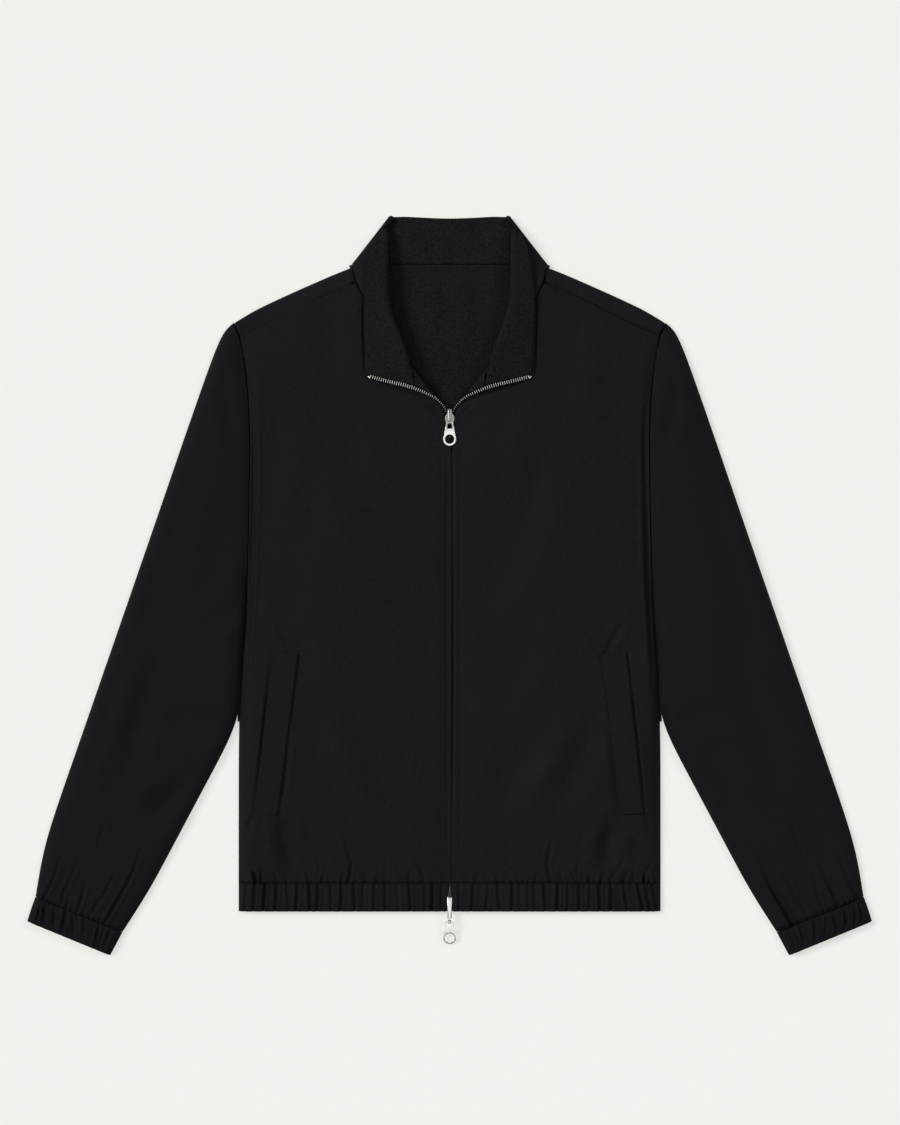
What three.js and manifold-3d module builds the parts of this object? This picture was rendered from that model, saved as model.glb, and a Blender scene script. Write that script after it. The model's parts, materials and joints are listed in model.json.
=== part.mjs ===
// Bomber jacket lying flat on its back, closed by a two-way metal zip with the collar turned out.
// Millimetres. +X is to the right seen from above, +Y runs from hem to collar, +Z is up, out of the front.
// Most pieces are laid out for one half in (u, y), where u is the distance from the centre line,
// and `side` (-1 left, +1 right) places them.
import * as THREE from 'three';
import { mergeVertices } from 'three/addons/utils/BufferGeometryUtils.js';
import Module from 'manifold-3d';

const wasm = await Module();
wasm.setup();

// ---------------------------------------------------------------- driving sizes
const GAP = 0.3; // clearance kept between neighbouring pieces
const SHELL = 1.2; // wall of the woven shell
const LINING = 1.2; // wall of the knitted lining
const BAND = 1.6; // wall of the doubled, elasticated bands
const LIFT = SHELL + GAP; // level of whatever lies on the back panel

const HEM_DEPTH = 30; // hem band, edge to seam
const HEM_ROLL = 0.6; // how far the band's edge turns down, which leaves the hem open
const HALF_HEM = 222; // half width across the hem
const CENTRE_GAP = 0.5; // each front edge to the centre line
const FRONT_RISE = 10.5; // height of the front over the surface
const CHEST = { rise: 5, u: 118, y: 400, halfWidth: 85, halfHeight: 250 }; // where it stands higher
// What draws a front down or lifts it, by how much, and how far that reaches.
const HEM_TUCK = { size: 2.4, reach: 20 };
const ZIP_TUCK = { size: 1.1, reach: 9 };
const SEAM_TUCK = { size: 2, reach: 12 };
const NECK_LIFT = { size: 2, reach: 15 };
const TURN_LIFT = { size: 3.6, u: 34, y: 566, reach: 12 };
const SIDE_ROLL = 15; // width of the rounding at a side
const SIDE_EDGE = LIFT + 0.7; // height of the front's edge at the side seam
const ARMHOLE_EDGE = 6.5; // height of the front's edge at the armhole
const UNDERARM_Y = 350;
const SHOULDER_BEND = 4.5; // radius of the fold over the shoulder

const SLEEVE_RISE = 13; // height of a sleeve at its middle
const SLEEVE_RISE_AT_CUFF = 9.4;
const SLEEVE_EDGE = 3; // height at which a sleeve's fold is widest
const CUFF_RISE = 9.4;
const CUFF_MOUTH = 8.2; // height of a cuff at its ends

const COLLAR_MID = SHELL + GAP; // level of the joint between the collar's layers, on the surface
const COLLAR_BEND = 3; // radius of the fold at the collar's side

const TAPE = 0.8; // thickness of the zip tape
const TURNED_SETBACK = 2.4; // lining of a turned-out corner, back from the chain's edge
const WELT_CLEARANCE = 0.55; // under a pocket welt, over its front
const STRIP_LAP = 10; // a shoulder strip's overlap on the flat back

// ---------------------------------------------------------------- fineness of the grids
const FRONT_COLUMNS = 17; // from the zip to the side
const FRONT_ROWS = 22; // from the hem to the shoulder
const SHOULDER_STEPS = 10; // along a shoulder strip
const SHOULDER_BEND_STEPS = 6; // round its fold
const SLEEVE_COLUMNS = 12; // across a sleeve's top piece
const SLEEVE_UNDER_COLUMNS = 7; // across its under piece
const SLEEVE_SECTIONS = 13; // along a sleeve
const SLEEVE_FIRST_SECTIONS = [0, 0.25, 0.6]; // closer together at the armhole's groove
const CUFF_RINGS = [0, 0.14, 0.5, 0.86, 1]; // shares of its depth
const CUFF_UNDER_COLUMNS = 8; // across its underside
const HEM_ROWS = [0, 0.1, 0.35, 0.75, 1]; // shares of its depth
const COLLAR_COLUMNS = 12; // steps from the collar's seam to its free edge
const WELT_ROWS = 12;
const TAPE_ROWS = 12; // along the open edge

// ---------------------------------------------------------------- outlines of one half
const SIDE_LINE = [
  { u: 222, y: 0 }, { u: 222, y: 100 }, { u: 221.5, y: 195 }, { u: 218.8, y: 262 },
  { u: 215, y: 300 }, { u: 212.4, y: 350 }, { u: 210.5, y: 425 }, { u: 209.5, y: 499 },
  { u: 210.8, y: 536 }, { u: 213.8, y: 566 }, { u: 219.5, y: 602.5 }, { u: 226.5, y: 619 },
];
const SHOULDER_FOLD = [
  { u: 226.5, y: 619 }, { u: 205, y: 632 }, { u: 187.5, y: 640.5 }, { u: 150, y: 657.5 },
  { u: 120, y: 670.5 }, { u: 103.5, y: 677 },
];
const SHOULDER_SEAM = [
  { u: 220.5, y: 606 }, { u: 194, y: 617 }, { u: 152.7, y: 637.8 }, { u: 126, y: 650.5 },
  { u: 101.5, y: 661.5 },
];
const FRONT_NECK = [
  { u: 101.5, y: 661.5 }, { u: 97.5, y: 657 }, { u: 88.8, y: 642.6 }, { u: 79, y: 624 },
  { u: 67, y: 603.5 }, { u: 53, y: 585.5 }, { u: 38.4, y: 570 },
];
const TURN_LINE = [ // where each front corner turns out above the slider
  { u: 38.4, y: 570 }, { u: 20, y: 547 }, { u: 10.5, y: 536 }, { u: 5.8, y: 528 },
];
const ZIP_EDGE = [
  { u: CENTRE_GAP, y: HEM_DEPTH }, { u: CENTRE_GAP, y: 260 }, { u: CENTRE_GAP, y: 480 },
  { u: 1.6, y: 500 }, { u: 5.4, y: 514 }, { u: 5.8, y: 528 },
];
const OPEN_EDGE = [ // free zip edge of the turned-out corner, slider to collar tip
  { u: 6.2, y: 530.5 }, { u: 12.4, y: 537 }, { u: 17.5, y: 540.8 }, { u: 28, y: 545.6 },
  { u: 38.4, y: 549.6 }, { u: 48.9, y: 552.9 }, { u: 62.8, y: 556 }, { u: 73.3, y: 558.7 },
  { u: 84, y: 561.6 },
];
const BACK_NECK = [{ u: 103.5, y: 677 }, { u: 84, y: 680 }, { u: 66, y: 680.7 }, { u: 0, y: 680.7 }];
const SLEEVE_GAP = 0.8; // groove between the body's side and a sleeve
const besideBody = (row) => ({ u: row.u + SLEEVE_GAP, y: row.y });
const SLEEVE_INNER = [
  ...SIDE_LINE.filter((row) => row.y >= 195 && row.y <= UNDERARM_Y).reverse().map(besideBody),
  { u: 228, y: 186 }, { u: 237, y: 170 }, { u: 287.3, y: 75.6 }, { u: 330, y: -3 }, { u: 344, y: -21.6 },
];
const SLEEVE_OUTER = [
  { u: 227.3, y: 619 }, { u: 232.7, y: 615 }, { u: 237.5, y: 610 }, { u: 244, y: 596 },
  { u: 250.5, y: 579.6 }, { u: 325, y: 364.5 }, { u: 393, y: 168 }, { u: 419.6, y: 91 },
  { u: 429, y: 60 }, { u: 434.5, y: 34 }, { u: 435.5, y: 15.8 },
];
const CUFF_INNER = [{ u: 344.2, y: -22.1 }, { u: 351, y: -35 }, { u: 357, y: -46.2 }];
const CUFF_OUTER = [{ u: 435.7, y: 15.3 }, { u: 441, y: 1 }, { u: 444.3, y: -10.3 }];

// Large soft folds of each front: a line, how wide it is and how deep (a ridge when negative).
const FRONT_FOLDS = [
  { side: -1, u0: 164, y0: 87, u1: 155, y1: 50, width: 11, depth: 1.8 },
  { side: -1, u0: 216, y0: 56, u1: 204, y1: 40, width: 6, depth: 1.2 },
  { side: -1, u0: 107, y0: 70, u1: 102, y1: 34, width: 7, depth: 1.5 },
  { side: -1, u0: 36, y0: 66, u1: 28, y1: 34, width: 6, depth: 1.1 },
  { side: 1, u0: 170, y0: 83, u1: 168, y1: 48, width: 11, depth: 1.8 },
  { side: 1, u0: 108, y0: 72, u1: 102, y1: 36, width: 7, depth: 1.5 },
  { side: 1, u0: 183, y0: 52, u1: 168, y1: 34, width: 7, depth: 1.3 },
  { side: 1, u0: 17, y0: 70, u1: 18, y1: 36, width: 6, depth: 1.1 },
];
// Gathers of the bands: how many folds, their height and the lean of a fold over the band's depth.
const HEM_GATHERS = { folds: 19, height: 1.5, lean: 3 };
const CUFF_GATHERS = { folds: 9, height: 1.5, lean: 1.5 };

// Collar stations from the centre back round to the tip: the seam (root), where the band rolls over,
// and its free edge. Those at the back lie on the surface; z is the level of the joint between the layers.
const COLLAR_BACK = [
  { root: [0, 681], roll: [0, 710], free: [0, 728.7] },
  { root: [30, 681], roll: [23, 711], free: [18, 729.2] },
  { root: [60, 681], roll: [45, 712], free: [36, 730.2] },
  { root: [84, 680.4], roll: [61, 715], free: [49.5, 731] },
];
const COLLAR_FOLD = { root: [103.9, 677.4], free: [61.5, 732] }; // where it folds over at its side
const COLLAR_FRONT = [
  { root: [100.2, 672.2, 8.8], roll: [64.4, 716, 10.6], free: [72.6, 717, 11.6] },
  { root: [99.2, 666.4, 10.8], roll: [64.8, 698, 14.6], free: [80.4, 701, 14.9] },
  { root: [97.4, 660.4, 12.2], roll: [64.8, 680, 17.6], free: [85, 684, 16.6] },
  { root: [93.4, 652, 13], roll: [64.8, 658, 18.6], free: [87.6, 659, 17] },
  { root: [88, 642.9, 13], roll: [64.6, 643, 18.8], free: [88.9, 641, 17] },
  { root: [78.3, 624.5, 13.2], roll: [58.6, 622, 19], free: [88.6, 620, 16.6] },
  { root: [66.3, 604, 13.6], roll: [50.6, 601, 19.4], free: [88, 600, 16.6] },
  { root: [52.4, 586.2, 14.6], roll: [43.6, 584, 19.6], free: [87.3, 583, 16.6] },
  { root: [46.6, 578.6, 16], roll: [42.6, 577.6, 19.4], free: [87, 577, 16.6] },
  { root: [41, 572.4, 18], roll: [44.4, 572, 20], free: [86.7, 571, 16.6] },
  { root: [38.4, 560.5, 18.6], roll: [41.4, 561, 19.2], free: [85.6, 565.4, 16.6] },
  { root: [37.6, 552.8, 18], roll: [40.6, 553.5, 18.4], free: [84.3, 564.6, 16.6] },
];

const POCKET = { // corners of a welt, the upper pair first
  upperOuter: [185, 272.3], upperInner: [159, 271], lowerOuter: [203.6, 103], lowerInner: [181.2, 101.9],
};

// ---------------------------------------------------------------- finishes
const finish = (hex, roughness, metalness = 0) => () =>
  new THREE.MeshStandardMaterial({ color: hex, roughness, metalness });
const shellCloth = finish('#1d1a1e', 0.85);
const liningCloth = finish('#1a1819', 0.95);
const tapeCloth = finish('#151416', 0.9);
const silver = finish('#d9d9d6', 0.25, 1);

// ---------------------------------------------------------------- small maths
const clamp01 = (t) => Math.min(1, Math.max(0, t));
const smooth = (t) => clamp01(t) ** 2 * (3 - 2 * clamp01(t));
const mix = THREE.MathUtils.lerp;
const range = (n) => Array.from({ length: n + 1 }, (_, i) => i / n);
/** 0 at an edge, 1 from `width` inwards, round like a rolled edge. */
const rolled = (distance, width) => Math.sqrt(1 - (1 - clamp01(distance / width)) ** 2);

/** A smooth curve through rows of u and y, read by its length. */
const curve = (rows) =>
  new THREE.CatmullRomCurve3(rows.map((r) => new THREE.Vector3(r.u, r.y, 0)), false, 'centripetal');
/** A smooth curve through places in space. */
const bowed = (...places) => new THREE.CatmullRomCurve3(places, false, 'centripetal');

/** Several curves, end to end. */
function path(...parts) {
  const whole = new THREE.CurvePath();
  parts.forEach((part) => whole.add(part));
  return whole;
}

/** Distance from (u, y) to a polyline. */
function distanceTo(points, u, y) {
  let best = Infinity;
  for (let i = 1; i < points.length; i++) {
    const [a, b] = [points[i - 1], points[i]];
    const [du, dy] = [b.u - a.u, b.y - a.y];
    const t = clamp01(((u - a.u) * du + (y - a.y) * dy) / (du * du + dy * dy));
    best = Math.min(best, Math.hypot(u - a.u - t * du, y - a.y - t * dy));
  }
  return best;
}

/** Blend of four border curves; a runs across, b runs up. */
function patch(bottom, top, left, right) {
  const corner = [bottom.getPointAt(0), bottom.getPointAt(1), top.getPointAt(0), top.getPointAt(1)];
  return (a, b) => {
    const across = bottom.getPointAt(a).lerp(top.getPointAt(a), b);
    const up = left.getPointAt(b).lerp(right.getPointAt(b), a);
    const low = corner[0].clone().lerp(corner[1], a);
    const high = corner[2].clone().lerp(corner[3], a);
    return across.add(up).sub(low.lerp(high, b));
  };
}

/** u of the body's side line at a height y. */
function sideLine(y) {
  const i = Math.max(1, SIDE_LINE.findIndex((row) => row.y >= y));
  const [a, b] = [SIDE_LINE[i - 1], SIDE_LINE[i]];
  return mix(a.u, b.u, (y - a.y) / (b.y - a.y));
}

// ---------------------------------------------------------------- solids from grids
/** Turns a list of triangles into a geometry that faces outwards. */
function solid(points, triangles) {
  let volume = 0;
  const cross = new THREE.Vector3();
  for (const [a, b, c] of triangles) volume += points[a].dot(cross.crossVectors(points[b], points[c]));
  const geometry = new THREE.BufferGeometry();
  geometry.setAttribute('position', new THREE.Float32BufferAttribute(points.flatMap((p) => p.toArray()), 3));
  geometry.setIndex(triangles.flatMap(([a, b, c]) => (volume > 0 ? [a, b, c] : [a, c, b])));
  return geometry;
}

/** Unit normals of a grid of points; `ring` closes each row on itself. */
function gridNormals(grid, ring = false) {
  const [rows, cols] = [grid.length, grid[0].length];
  const { clamp } = THREE.MathUtils;
  const at = (i, j) => grid[clamp(i, 0, rows - 1)][ring ? (j + cols) % cols : clamp(j, 0, cols - 1)];
  return grid.map((row, i) => row.map((_, j) => {
    const along = at(i + 1, j).clone().sub(at(i - 1, j));
    const across = at(i, j + 1).clone().sub(at(i, j - 1));
    return across.cross(along).normalize();
  }));
}

/** The grid moved along its normals. */
function offset(grid, distance, ring = false) {
  const normals = gridNormals(grid, ring);
  return grid.map((row, i) => row.map((p, j) => p.clone().addScaledVector(normals[i][j], distance)));
}

/** The inner face of a wall whose outer face is `grid`: the offset that lies lower at its top. */
function inset(grid, thickness, ring = false) {
  const top = (g) => Math.max(...g.flat().map((p) => p.z));
  const [one, other] = [offset(grid, thickness, ring), offset(grid, -thickness, ring)];
  return top(one) < top(other) ? one : other;
}

/** A wall between two matching grids. A ring's rows close, so only its ends get a rim. */
function wall(outer, inner, ring = false) {
  const [rows, cols] = [outer.length, outer[0].length];
  const points = [...outer.flat(), ...inner.flat()];
  const o = (i, j) => i * cols + ((j + cols) % cols);
  const n = (i, j) => rows * cols + o(i, j);
  const triangles = [];
  const quad = (a, b, c, d) => triangles.push([a, b, c], [a, c, d]);
  for (let i = 0; i < rows - 1; i++) {
    for (let j = 0; j < cols - (ring ? 0 : 1); j++) {
      quad(o(i, j), o(i, j + 1), o(i + 1, j + 1), o(i + 1, j));
      quad(n(i, j), n(i + 1, j), n(i + 1, j + 1), n(i, j + 1));
    }
    if (!ring) {
      quad(o(i, 0), o(i + 1, 0), n(i + 1, 0), n(i, 0));
      quad(o(i, cols - 1), n(i, cols - 1), n(i + 1, cols - 1), o(i + 1, cols - 1));
    }
  }
  for (let j = 0; j < cols - (ring ? 0 : 1); j++) {
    quad(o(0, j), n(0, j), n(0, j + 1), o(0, j + 1));
    quad(o(rows - 1, j), o(rows - 1, j + 1), n(rows - 1, j + 1), n(rows - 1, j));
  }
  return solid(points, triangles);
}

/** Mirrors a grid laid out for the right half; `side` is -1 or +1. */
const place = (grid, side) => grid.map((row) => row.map((p) => new THREE.Vector3(side * p.x, p.y, p.z)));

/** A geometry as a manifold, for joins and cuts. */
function toManifold(geometry) {
  const bare = geometry.clone();
  bare.deleteAttribute('normal');
  bare.deleteAttribute('uv');
  const merged = mergeVertices(bare, 1e-4);
  const vertProperties = merged.attributes.position.array;
  const triVerts = Uint32Array.from(merged.index.array);
  return new wasm.Manifold(new wasm.Mesh({ numProp: 3, vertProperties, triVerts }));
}

/** Several overlapping geometries joined into one. */
function join(...geometries) {
  const whole = geometries.map(toManifold).reduce((a, b) => a.add(b)).getMesh();
  const geometry = new THREE.BufferGeometry();
  geometry.setAttribute('position', new THREE.BufferAttribute(Float32Array.from(whole.vertProperties), 3));
  geometry.setIndex(Array.from(whole.triVerts));
  return geometry;
}

// ---------------------------------------------------------------- body
/**
 * Height of a front's outer face at (u, y), without its folds: the chest stands up, the cloth is drawn
 * down to the hem, the zip and the shoulder seam, and the collar lifts the neck and the turned-out corner.
 */
function frontRise(u, y) {
  const fading = ({ size, reach }, distance) => size * Math.exp(-distance / reach);
  const bell = (distance, width) => Math.exp(-((distance / width) ** 2));
  const chest = CHEST.rise * bell(u - CHEST.u, CHEST.halfWidth) * bell(y - CHEST.y, CHEST.halfHeight);
  const tucks = fading(HEM_TUCK, y - HEM_DEPTH) + fading(ZIP_TUCK, u)
    + fading(SEAM_TUCK, distanceTo(SHOULDER_SEAM, u, y));
  const turned = bell(Math.hypot(u - TURN_LIFT.u, y - TURN_LIFT.y), Math.SQRT2 * TURN_LIFT.reach);
  const lifts = fading(NECK_LIFT, distanceTo(FRONT_NECK, u, y)) + TURN_LIFT.size * turned;
  const inside = FRONT_RISE + chest - tucks + lifts;
  const edge = mix(SIDE_EDGE, ARMHOLE_EDGE, smooth((y - UNDERARM_Y + 15) / 40)) + 2 * smooth((y - 560) / 50);
  return mix(edge, inside, rolled(sideLine(y) - u, SIDE_ROLL));
}

/** Depth of the large folds at (u, y) on one side. */
function foldDepth(side, u, y) {
  let depth = 0;
  for (const fold of FRONT_FOLDS) {
    if (fold.side !== side) continue;
    const gap = distanceTo([{ u: fold.u0, y: fold.y0 }, { u: fold.u1, y: fold.y1 }], u, y);
    depth += fold.depth * Math.exp(-((gap / fold.width) ** 2));
  }
  return depth * rolled(sideLine(y) - u, 2 * SIDE_ROLL);
}

/** Outer grid of a front, rows up and columns out; the columns close up towards the side. */
function frontGrid(side) {
  const hem = curve([{ u: CENTRE_GAP, y: HEM_DEPTH }, { u: HALF_HEM, y: HEM_DEPTH }]);
  const top = path(
    curve([...TURN_LINE].reverse()), curve([...FRONT_NECK].reverse()), curve([...SHOULDER_SEAM].reverse()));
  const sideRows = SIDE_LINE.filter((row) => row.y > HEM_DEPTH && row.y < SHOULDER_SEAM[0].y - 6);
  const armhole = curve([{ u: HALF_HEM, y: HEM_DEPTH }, ...sideRows, SHOULDER_SEAM[0]]);
  const plan = patch(hem, top, curve(ZIP_EDGE), armhole);
  const grid = range(FRONT_ROWS).map((b) => range(FRONT_COLUMNS).map((a) => {
    const p = plan(1 - (1 - a) ** 1.25, b);
    return new THREE.Vector3(p.x, p.y, frontRise(p.x, p.y) - foldDepth(side, p.x, p.y));
  }));
  return place(grid, side);
}

/** The back: a flat panel with a strip carried over each shoulder to the forward seam. */
function backPanel() {
  const inwards = new THREE.Vector3(0.428, 0.904, 0); // across the shoulder fold, towards the body (u, -y)
  const foldLine = SHOULDER_FOLD.map(({ u, y }) => (
    { u: u - inwards.x * SHOULDER_BEND, y: y - inwards.y * SHOULDER_BEND }));
  const corner = { u: HALF_HEM, y: HEM_DEPTH + GAP };
  const outline = [corner, ...SIDE_LINE.slice(1, -1), ...foldLine, ...BACK_NECK.slice(1)];
  const shape = new THREE.Shape([
    ...outline.map((r) => new THREE.Vector2(r.u, r.y)),
    ...outline.slice(0, -1).reverse().map((r) => new THREE.Vector2(-r.u, r.y)),
  ]);
  const panel = new THREE.ExtrudeGeometry(shape, { depth: SHELL, bevelEnabled: false });
  const strips = [-1, 1].map((side) => shoulderStrip(side, inwards));
  return join(panel, ...strips);
}

/** One shoulder strip of the back, lapping the flat panel and bending over to the seam. */
function shoulderStrip(side, inwards) {
  const fold = curve(SHOULDER_FOLD);
  const seam = curve(SHOULDER_SEAM);
  const grid = range(SHOULDER_STEPS).map((t) => {
    const [f, g] = [fold.getPointAt(t), seam.getPointAt(t)];
    const back = (distance, z) => f.clone().addScaledVector(inwards, -distance).setZ(z);
    const bend = range(SHOULDER_BEND_STEPS).map((k) => {
      const angle = Math.PI * k;
      return back(SHOULDER_BEND * (1 - Math.sin(angle)), SHOULDER_BEND * (1 - Math.cos(angle)));
    });
    const seamEnd = new THREE.Vector3(g.x, g.y, frontRise(g.x, g.y)).addScaledVector(inwards, GAP);
    const between = bend[SHOULDER_BEND_STEPS].clone().lerp(seamEnd, 0.5);
    return [back(SHOULDER_BEND + STRIP_LAP, 0), ...bend, between, seamEnd];
  });
  return wall(place(grid, side), place(inset(grid, SHELL), side));
}

// ---------------------------------------------------------------- sleeves and cuffs
/** 0 to 1, closer together at both ends. */
const spread = (t) => 0.5 - 0.5 * Math.cos(Math.PI * t);
/** Whether a share across a tube is one of its two folds. */
const isFold = (w) => w === 0 || w === 1;

/** Height of a tube's underside: flat but for its rounded edges. */
const underEdge = (distance) => SLEEVE_EDGE * (1 - rolled(distance, SLEEVE_EDGE));

/** A sleeve as two pieces: sections run across it from the armhole to the cuff's seam. */
function sleeve(side) {
  const armRows = SIDE_LINE.filter((row) => row.y >= UNDERARM_Y);
  const armhole = curve(armRows.map(besideBody));
  const cuffSeam = curve([SLEEVE_INNER[SLEEVE_INNER.length - 1], SLEEVE_OUTER[SLEEVE_OUTER.length - 1]]);
  const inner = curve(SLEEVE_INNER);
  const outer = curve(SLEEVE_OUTER);
  // sections fan out of the underarm: the inner end starts slowly
  const fan = { getPointAt: (t) => inner.getPointAt(t ** 1.7) };
  const plan = patch(armhole, cuffSeam, fan, outer);
  const across = range(SLEEVE_COLUMNS).map(spread);
  const under = range(SLEEVE_UNDER_COLUMNS).slice(1, -1).map((t) => 1 - spread(t));
  const edgeDistance = ({ x, y }) => Math.min(distanceTo(SLEEVE_INNER, x, y), distanceTo(SLEEVE_OUTER, x, y));
  const evenly = range(SLEEVE_SECTIONS).slice(1).map((t) => t * SLEEVE_SECTIONS);
  const sections = [...SLEEVE_FIRST_SECTIONS, ...evenly];
  const rings = sections.map((k) => {
    const s = k / SLEEVE_SECTIONS;
    const rise = mix(SLEEVE_RISE, SLEEVE_RISE_AT_CUFF, smooth((s - 0.45) / 0.55));
    const top = (p, w) => {
      const groove = (rise - ARMHOLE_EDGE - 1) * Math.exp(-distanceTo(armRows, p.x, p.y) / 9);
      const height = mix(SLEEVE_EDGE, rise - groove, rolled(edgeDistance(p), 13));
      return new THREE.Vector3(p.x, p.y, isFold(w) ? SLEEVE_EDGE : Math.max(height, SLEEVE_EDGE + 0.4));
    };
    const bottom = (p) => new THREE.Vector3(p.x, p.y, underEdge(edgeDistance(p)));
    return [...across.map((w) => top(plan(w, s), w)), ...under.map((w) => bottom(plan(w, s)))];
  });
  return twoPieceTube(rings, inset(rings, SHELL, true), across.length, side);
}

/** A tube's wall cut along its two folds, where a top and an under piece are sewn together. */
function twoPieceTube(outer, inner, topPoints, side) {
  // the top piece runs from one fold to the other, a gap above the under piece's edges
  const topOf = (grid) => grid.map((ring) => {
    const top = ring.slice(0, topPoints).map((p) => p.clone());
    for (const end of [top[0], top[topPoints - 1]]) end.z += GAP;
    return top;
  });
  const underOf = (grid) => grid.map((ring) => [ring[topPoints - 1], ...ring.slice(topPoints), ring[0]]);
  const piece = (part) => wall(place(part(outer), side), place(part(inner), side));
  return { top: piece(topOf), under: piece(underOf) };
}

/** A cuff: a flattened ring, gathered on top. */
function cuff(side) {
  const { folds, height, lean } = CUFF_GATHERS;
  const [inner, outer] = [curve(CUFF_INNER), curve(CUFF_OUTER)];
  const across = [0, 0.012, ...range(4 * folds).slice(1, -1).map((w) => mix(0.03, 0.97, w)), 0.988, 1];
  const under = range(CUFF_UNDER_COLUMNS).slice(1, -1).map((t) => 1 - spread(t));
  const ring = (b, waveHeight) => {
    const [p0, p1] = [inner.getPointAt(b), outer.getPointAt(b)];
    const width = p0.distanceTo(p1);
    const rise = mix(CUFF_RISE, CUFF_MOUTH, Math.abs(2 * b - 1) ** 3);
    const edgeDistance = (w) => Math.min(w, 1 - w) * width;
    const top = (w) => {
      const wave = Math.cos(2 * Math.PI * folds * (w + (lean * (b - 0.5)) / width));
      const uneven = 0.7 + 0.3 * Math.cos(7.3 * w + 1);
      return mix(SLEEVE_EDGE, rise, rolled(edgeDistance(w), 7))
        + waveHeight * wave * uneven * rolled(edgeDistance(w), 9) * 0.5;
    };
    return [
      ...across.map((w) => p0.clone().lerp(p1, w).setZ(isFold(w) ? SLEEVE_EDGE : top(w))),
      ...under.map((w) => p0.clone().lerp(p1, w).setZ(underEdge(edgeDistance(w)))),
    ];
  };
  const gathered = CUFF_RINGS.map((b) => ring(b, height));
  const plain = CUFF_RINGS.map((b) => ring(b, 0));
  return wall(place(gathered, side), place(inset(plain, BAND, true), side), true);
}

// ---------------------------------------------------------------- hem band
/** A front's half of the hem band, gathered; its edge turns down but leaves the hem open. */
function hemFront(side) {
  const { folds, height, lean } = HEM_GATHERS;
  const rowAt = (b, waveHeight) => range(3 * folds).map((a) => {
    const start = mix(3.4, CENTRE_GAP + 0.6, smooth((b - 0.55) / 0.45));
    const u = mix(start, HALF_HEM, a);
    const y = b * (HEM_DEPTH - GAP);
    const seamRise = frontRise(Math.min(u, HALF_HEM - 0.01), HEM_DEPTH);
    const drop = Math.min(HEM_ROLL, Math.max(0, seamRise - SIDE_EDGE - GAP)) * (1 - rolled(y, 6));
    const level = seamRise + 0.9 * Math.sin(Math.PI * b) - drop;
    const uneven = 0.65 + 0.35 * Math.cos(5.1 * a * Math.PI + side);
    const wave = Math.cos(2 * Math.PI * (folds * a + (lean * side * (b - 0.5)) / 12));
    const quiet = rolled(HALF_HEM - u, 18) * rolled(u - start, 10) * rolled(y + 1, 8);
    return new THREE.Vector3(u, y, level + waveHeight * 0.5 * wave * uneven * quiet);
  });
  const outer = HEM_ROWS.map((b) => rowAt(b, height));
  const plain = HEM_ROWS.map((b) => rowAt(b, 0));
  const inner = plain.map((row) => row.map((p) => new THREE.Vector3(p.x, p.y, Math.max(LIFT, p.z - BAND))));
  return wall(place(outer, side), place(inner, side));
}

/** The back's half of the hem band, flat on the surface. */
function hemBack() {
  return new THREE.BoxGeometry(2 * HALF_HEM, HEM_DEPTH, SHELL).translate(0, HEM_DEPTH / 2, SHELL / 2);
}

/** Back lining, as far as the neck opening can show it. */
function liningBack() {
  const rows = [{ u: 94, y: 505 }, { u: 94, y: 664 }, { u: 82, y: 676 }, { u: 62, y: 680.6 }];
  const shape = new THREE.Shape([
    ...rows.map((r) => new THREE.Vector2(r.u, r.y)),
    ...[...rows].reverse().map((r) => new THREE.Vector2(-r.u, r.y)),
  ]);
  return new THREE.ExtrudeGeometry(shape, { depth: LINING, bevelEnabled: false }).translate(0, 0, LIFT);
}

// ---------------------------------------------------------------- collar
/** The same number of points along any collar station, through its seam, roll and free edge. */
function collarLine({ root, roll, free }) {
  const [a, b, c] = [root, roll, free].map((p) => new THREE.Vector3(...p));
  const ab = a.distanceTo(b);
  const bc = b.distanceTo(c);
  const flat = Math.abs(root[2] - roll[2]) < 0.01 && Math.abs(free[2] - roll[2]) < 0.01;
  if (flat || ab < 6 || bc < 14) {
    const line = bowed(a, b, c);
    const crest = flat ? 0.4 : Math.max(3, ab) / line.getLength();
    const past = flat ? 0.7 : Math.min(crest + 8 / line.getLength(), mix(crest, 1, 0.5));
    const stops = [[0, crest], [crest, past], [past, 1]].flatMap(
      ([from, to], k) => range(4).slice(k ? 1 : 0).map((t) => mix(from, to, t)));
    return stops.map((t) => line.getPointAt(t));
  }
  // lower leaf up to the roll, a round turn, then the upper leaf out to the edge
  const bend = Math.min(3.2, bc * 0.2, ab * 0.26);
  const inwards = b.clone().sub(a).setZ(0).normalize();
  const outwards = c.clone().sub(b).setZ(0).normalize();
  const below = b.clone().addScaledVector(inwards, -bend).setZ(b.z - bend);
  const above = b.clone().addScaledVector(outwards, bend).setZ(b.z + bend);
  const sag = a.clone().lerp(below, 0.5).setZ(mix(a.z, below.z, 0.5) - 0.3);
  const crown = above.clone().lerp(c, 0.55).setZ(mix(above.z, c.z, 0.6));
  const line = path(bowed(a, sag, below), bowed(below, b, above), bowed(above, crown, c));
  const lengths = line.getCurveLengths();
  const total = lengths[2];
  const stops = [
    ...range(4).map((t) => (t * lengths[0]) / total),
    ...range(4).slice(1).map((t) => mix(lengths[0], lengths[1], t) / total),
    ...range(4).slice(1).map((t) => mix(lengths[1], total, t) / total),
  ];
  return stops.map((t) => line.getPointAt(t));
}

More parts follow.
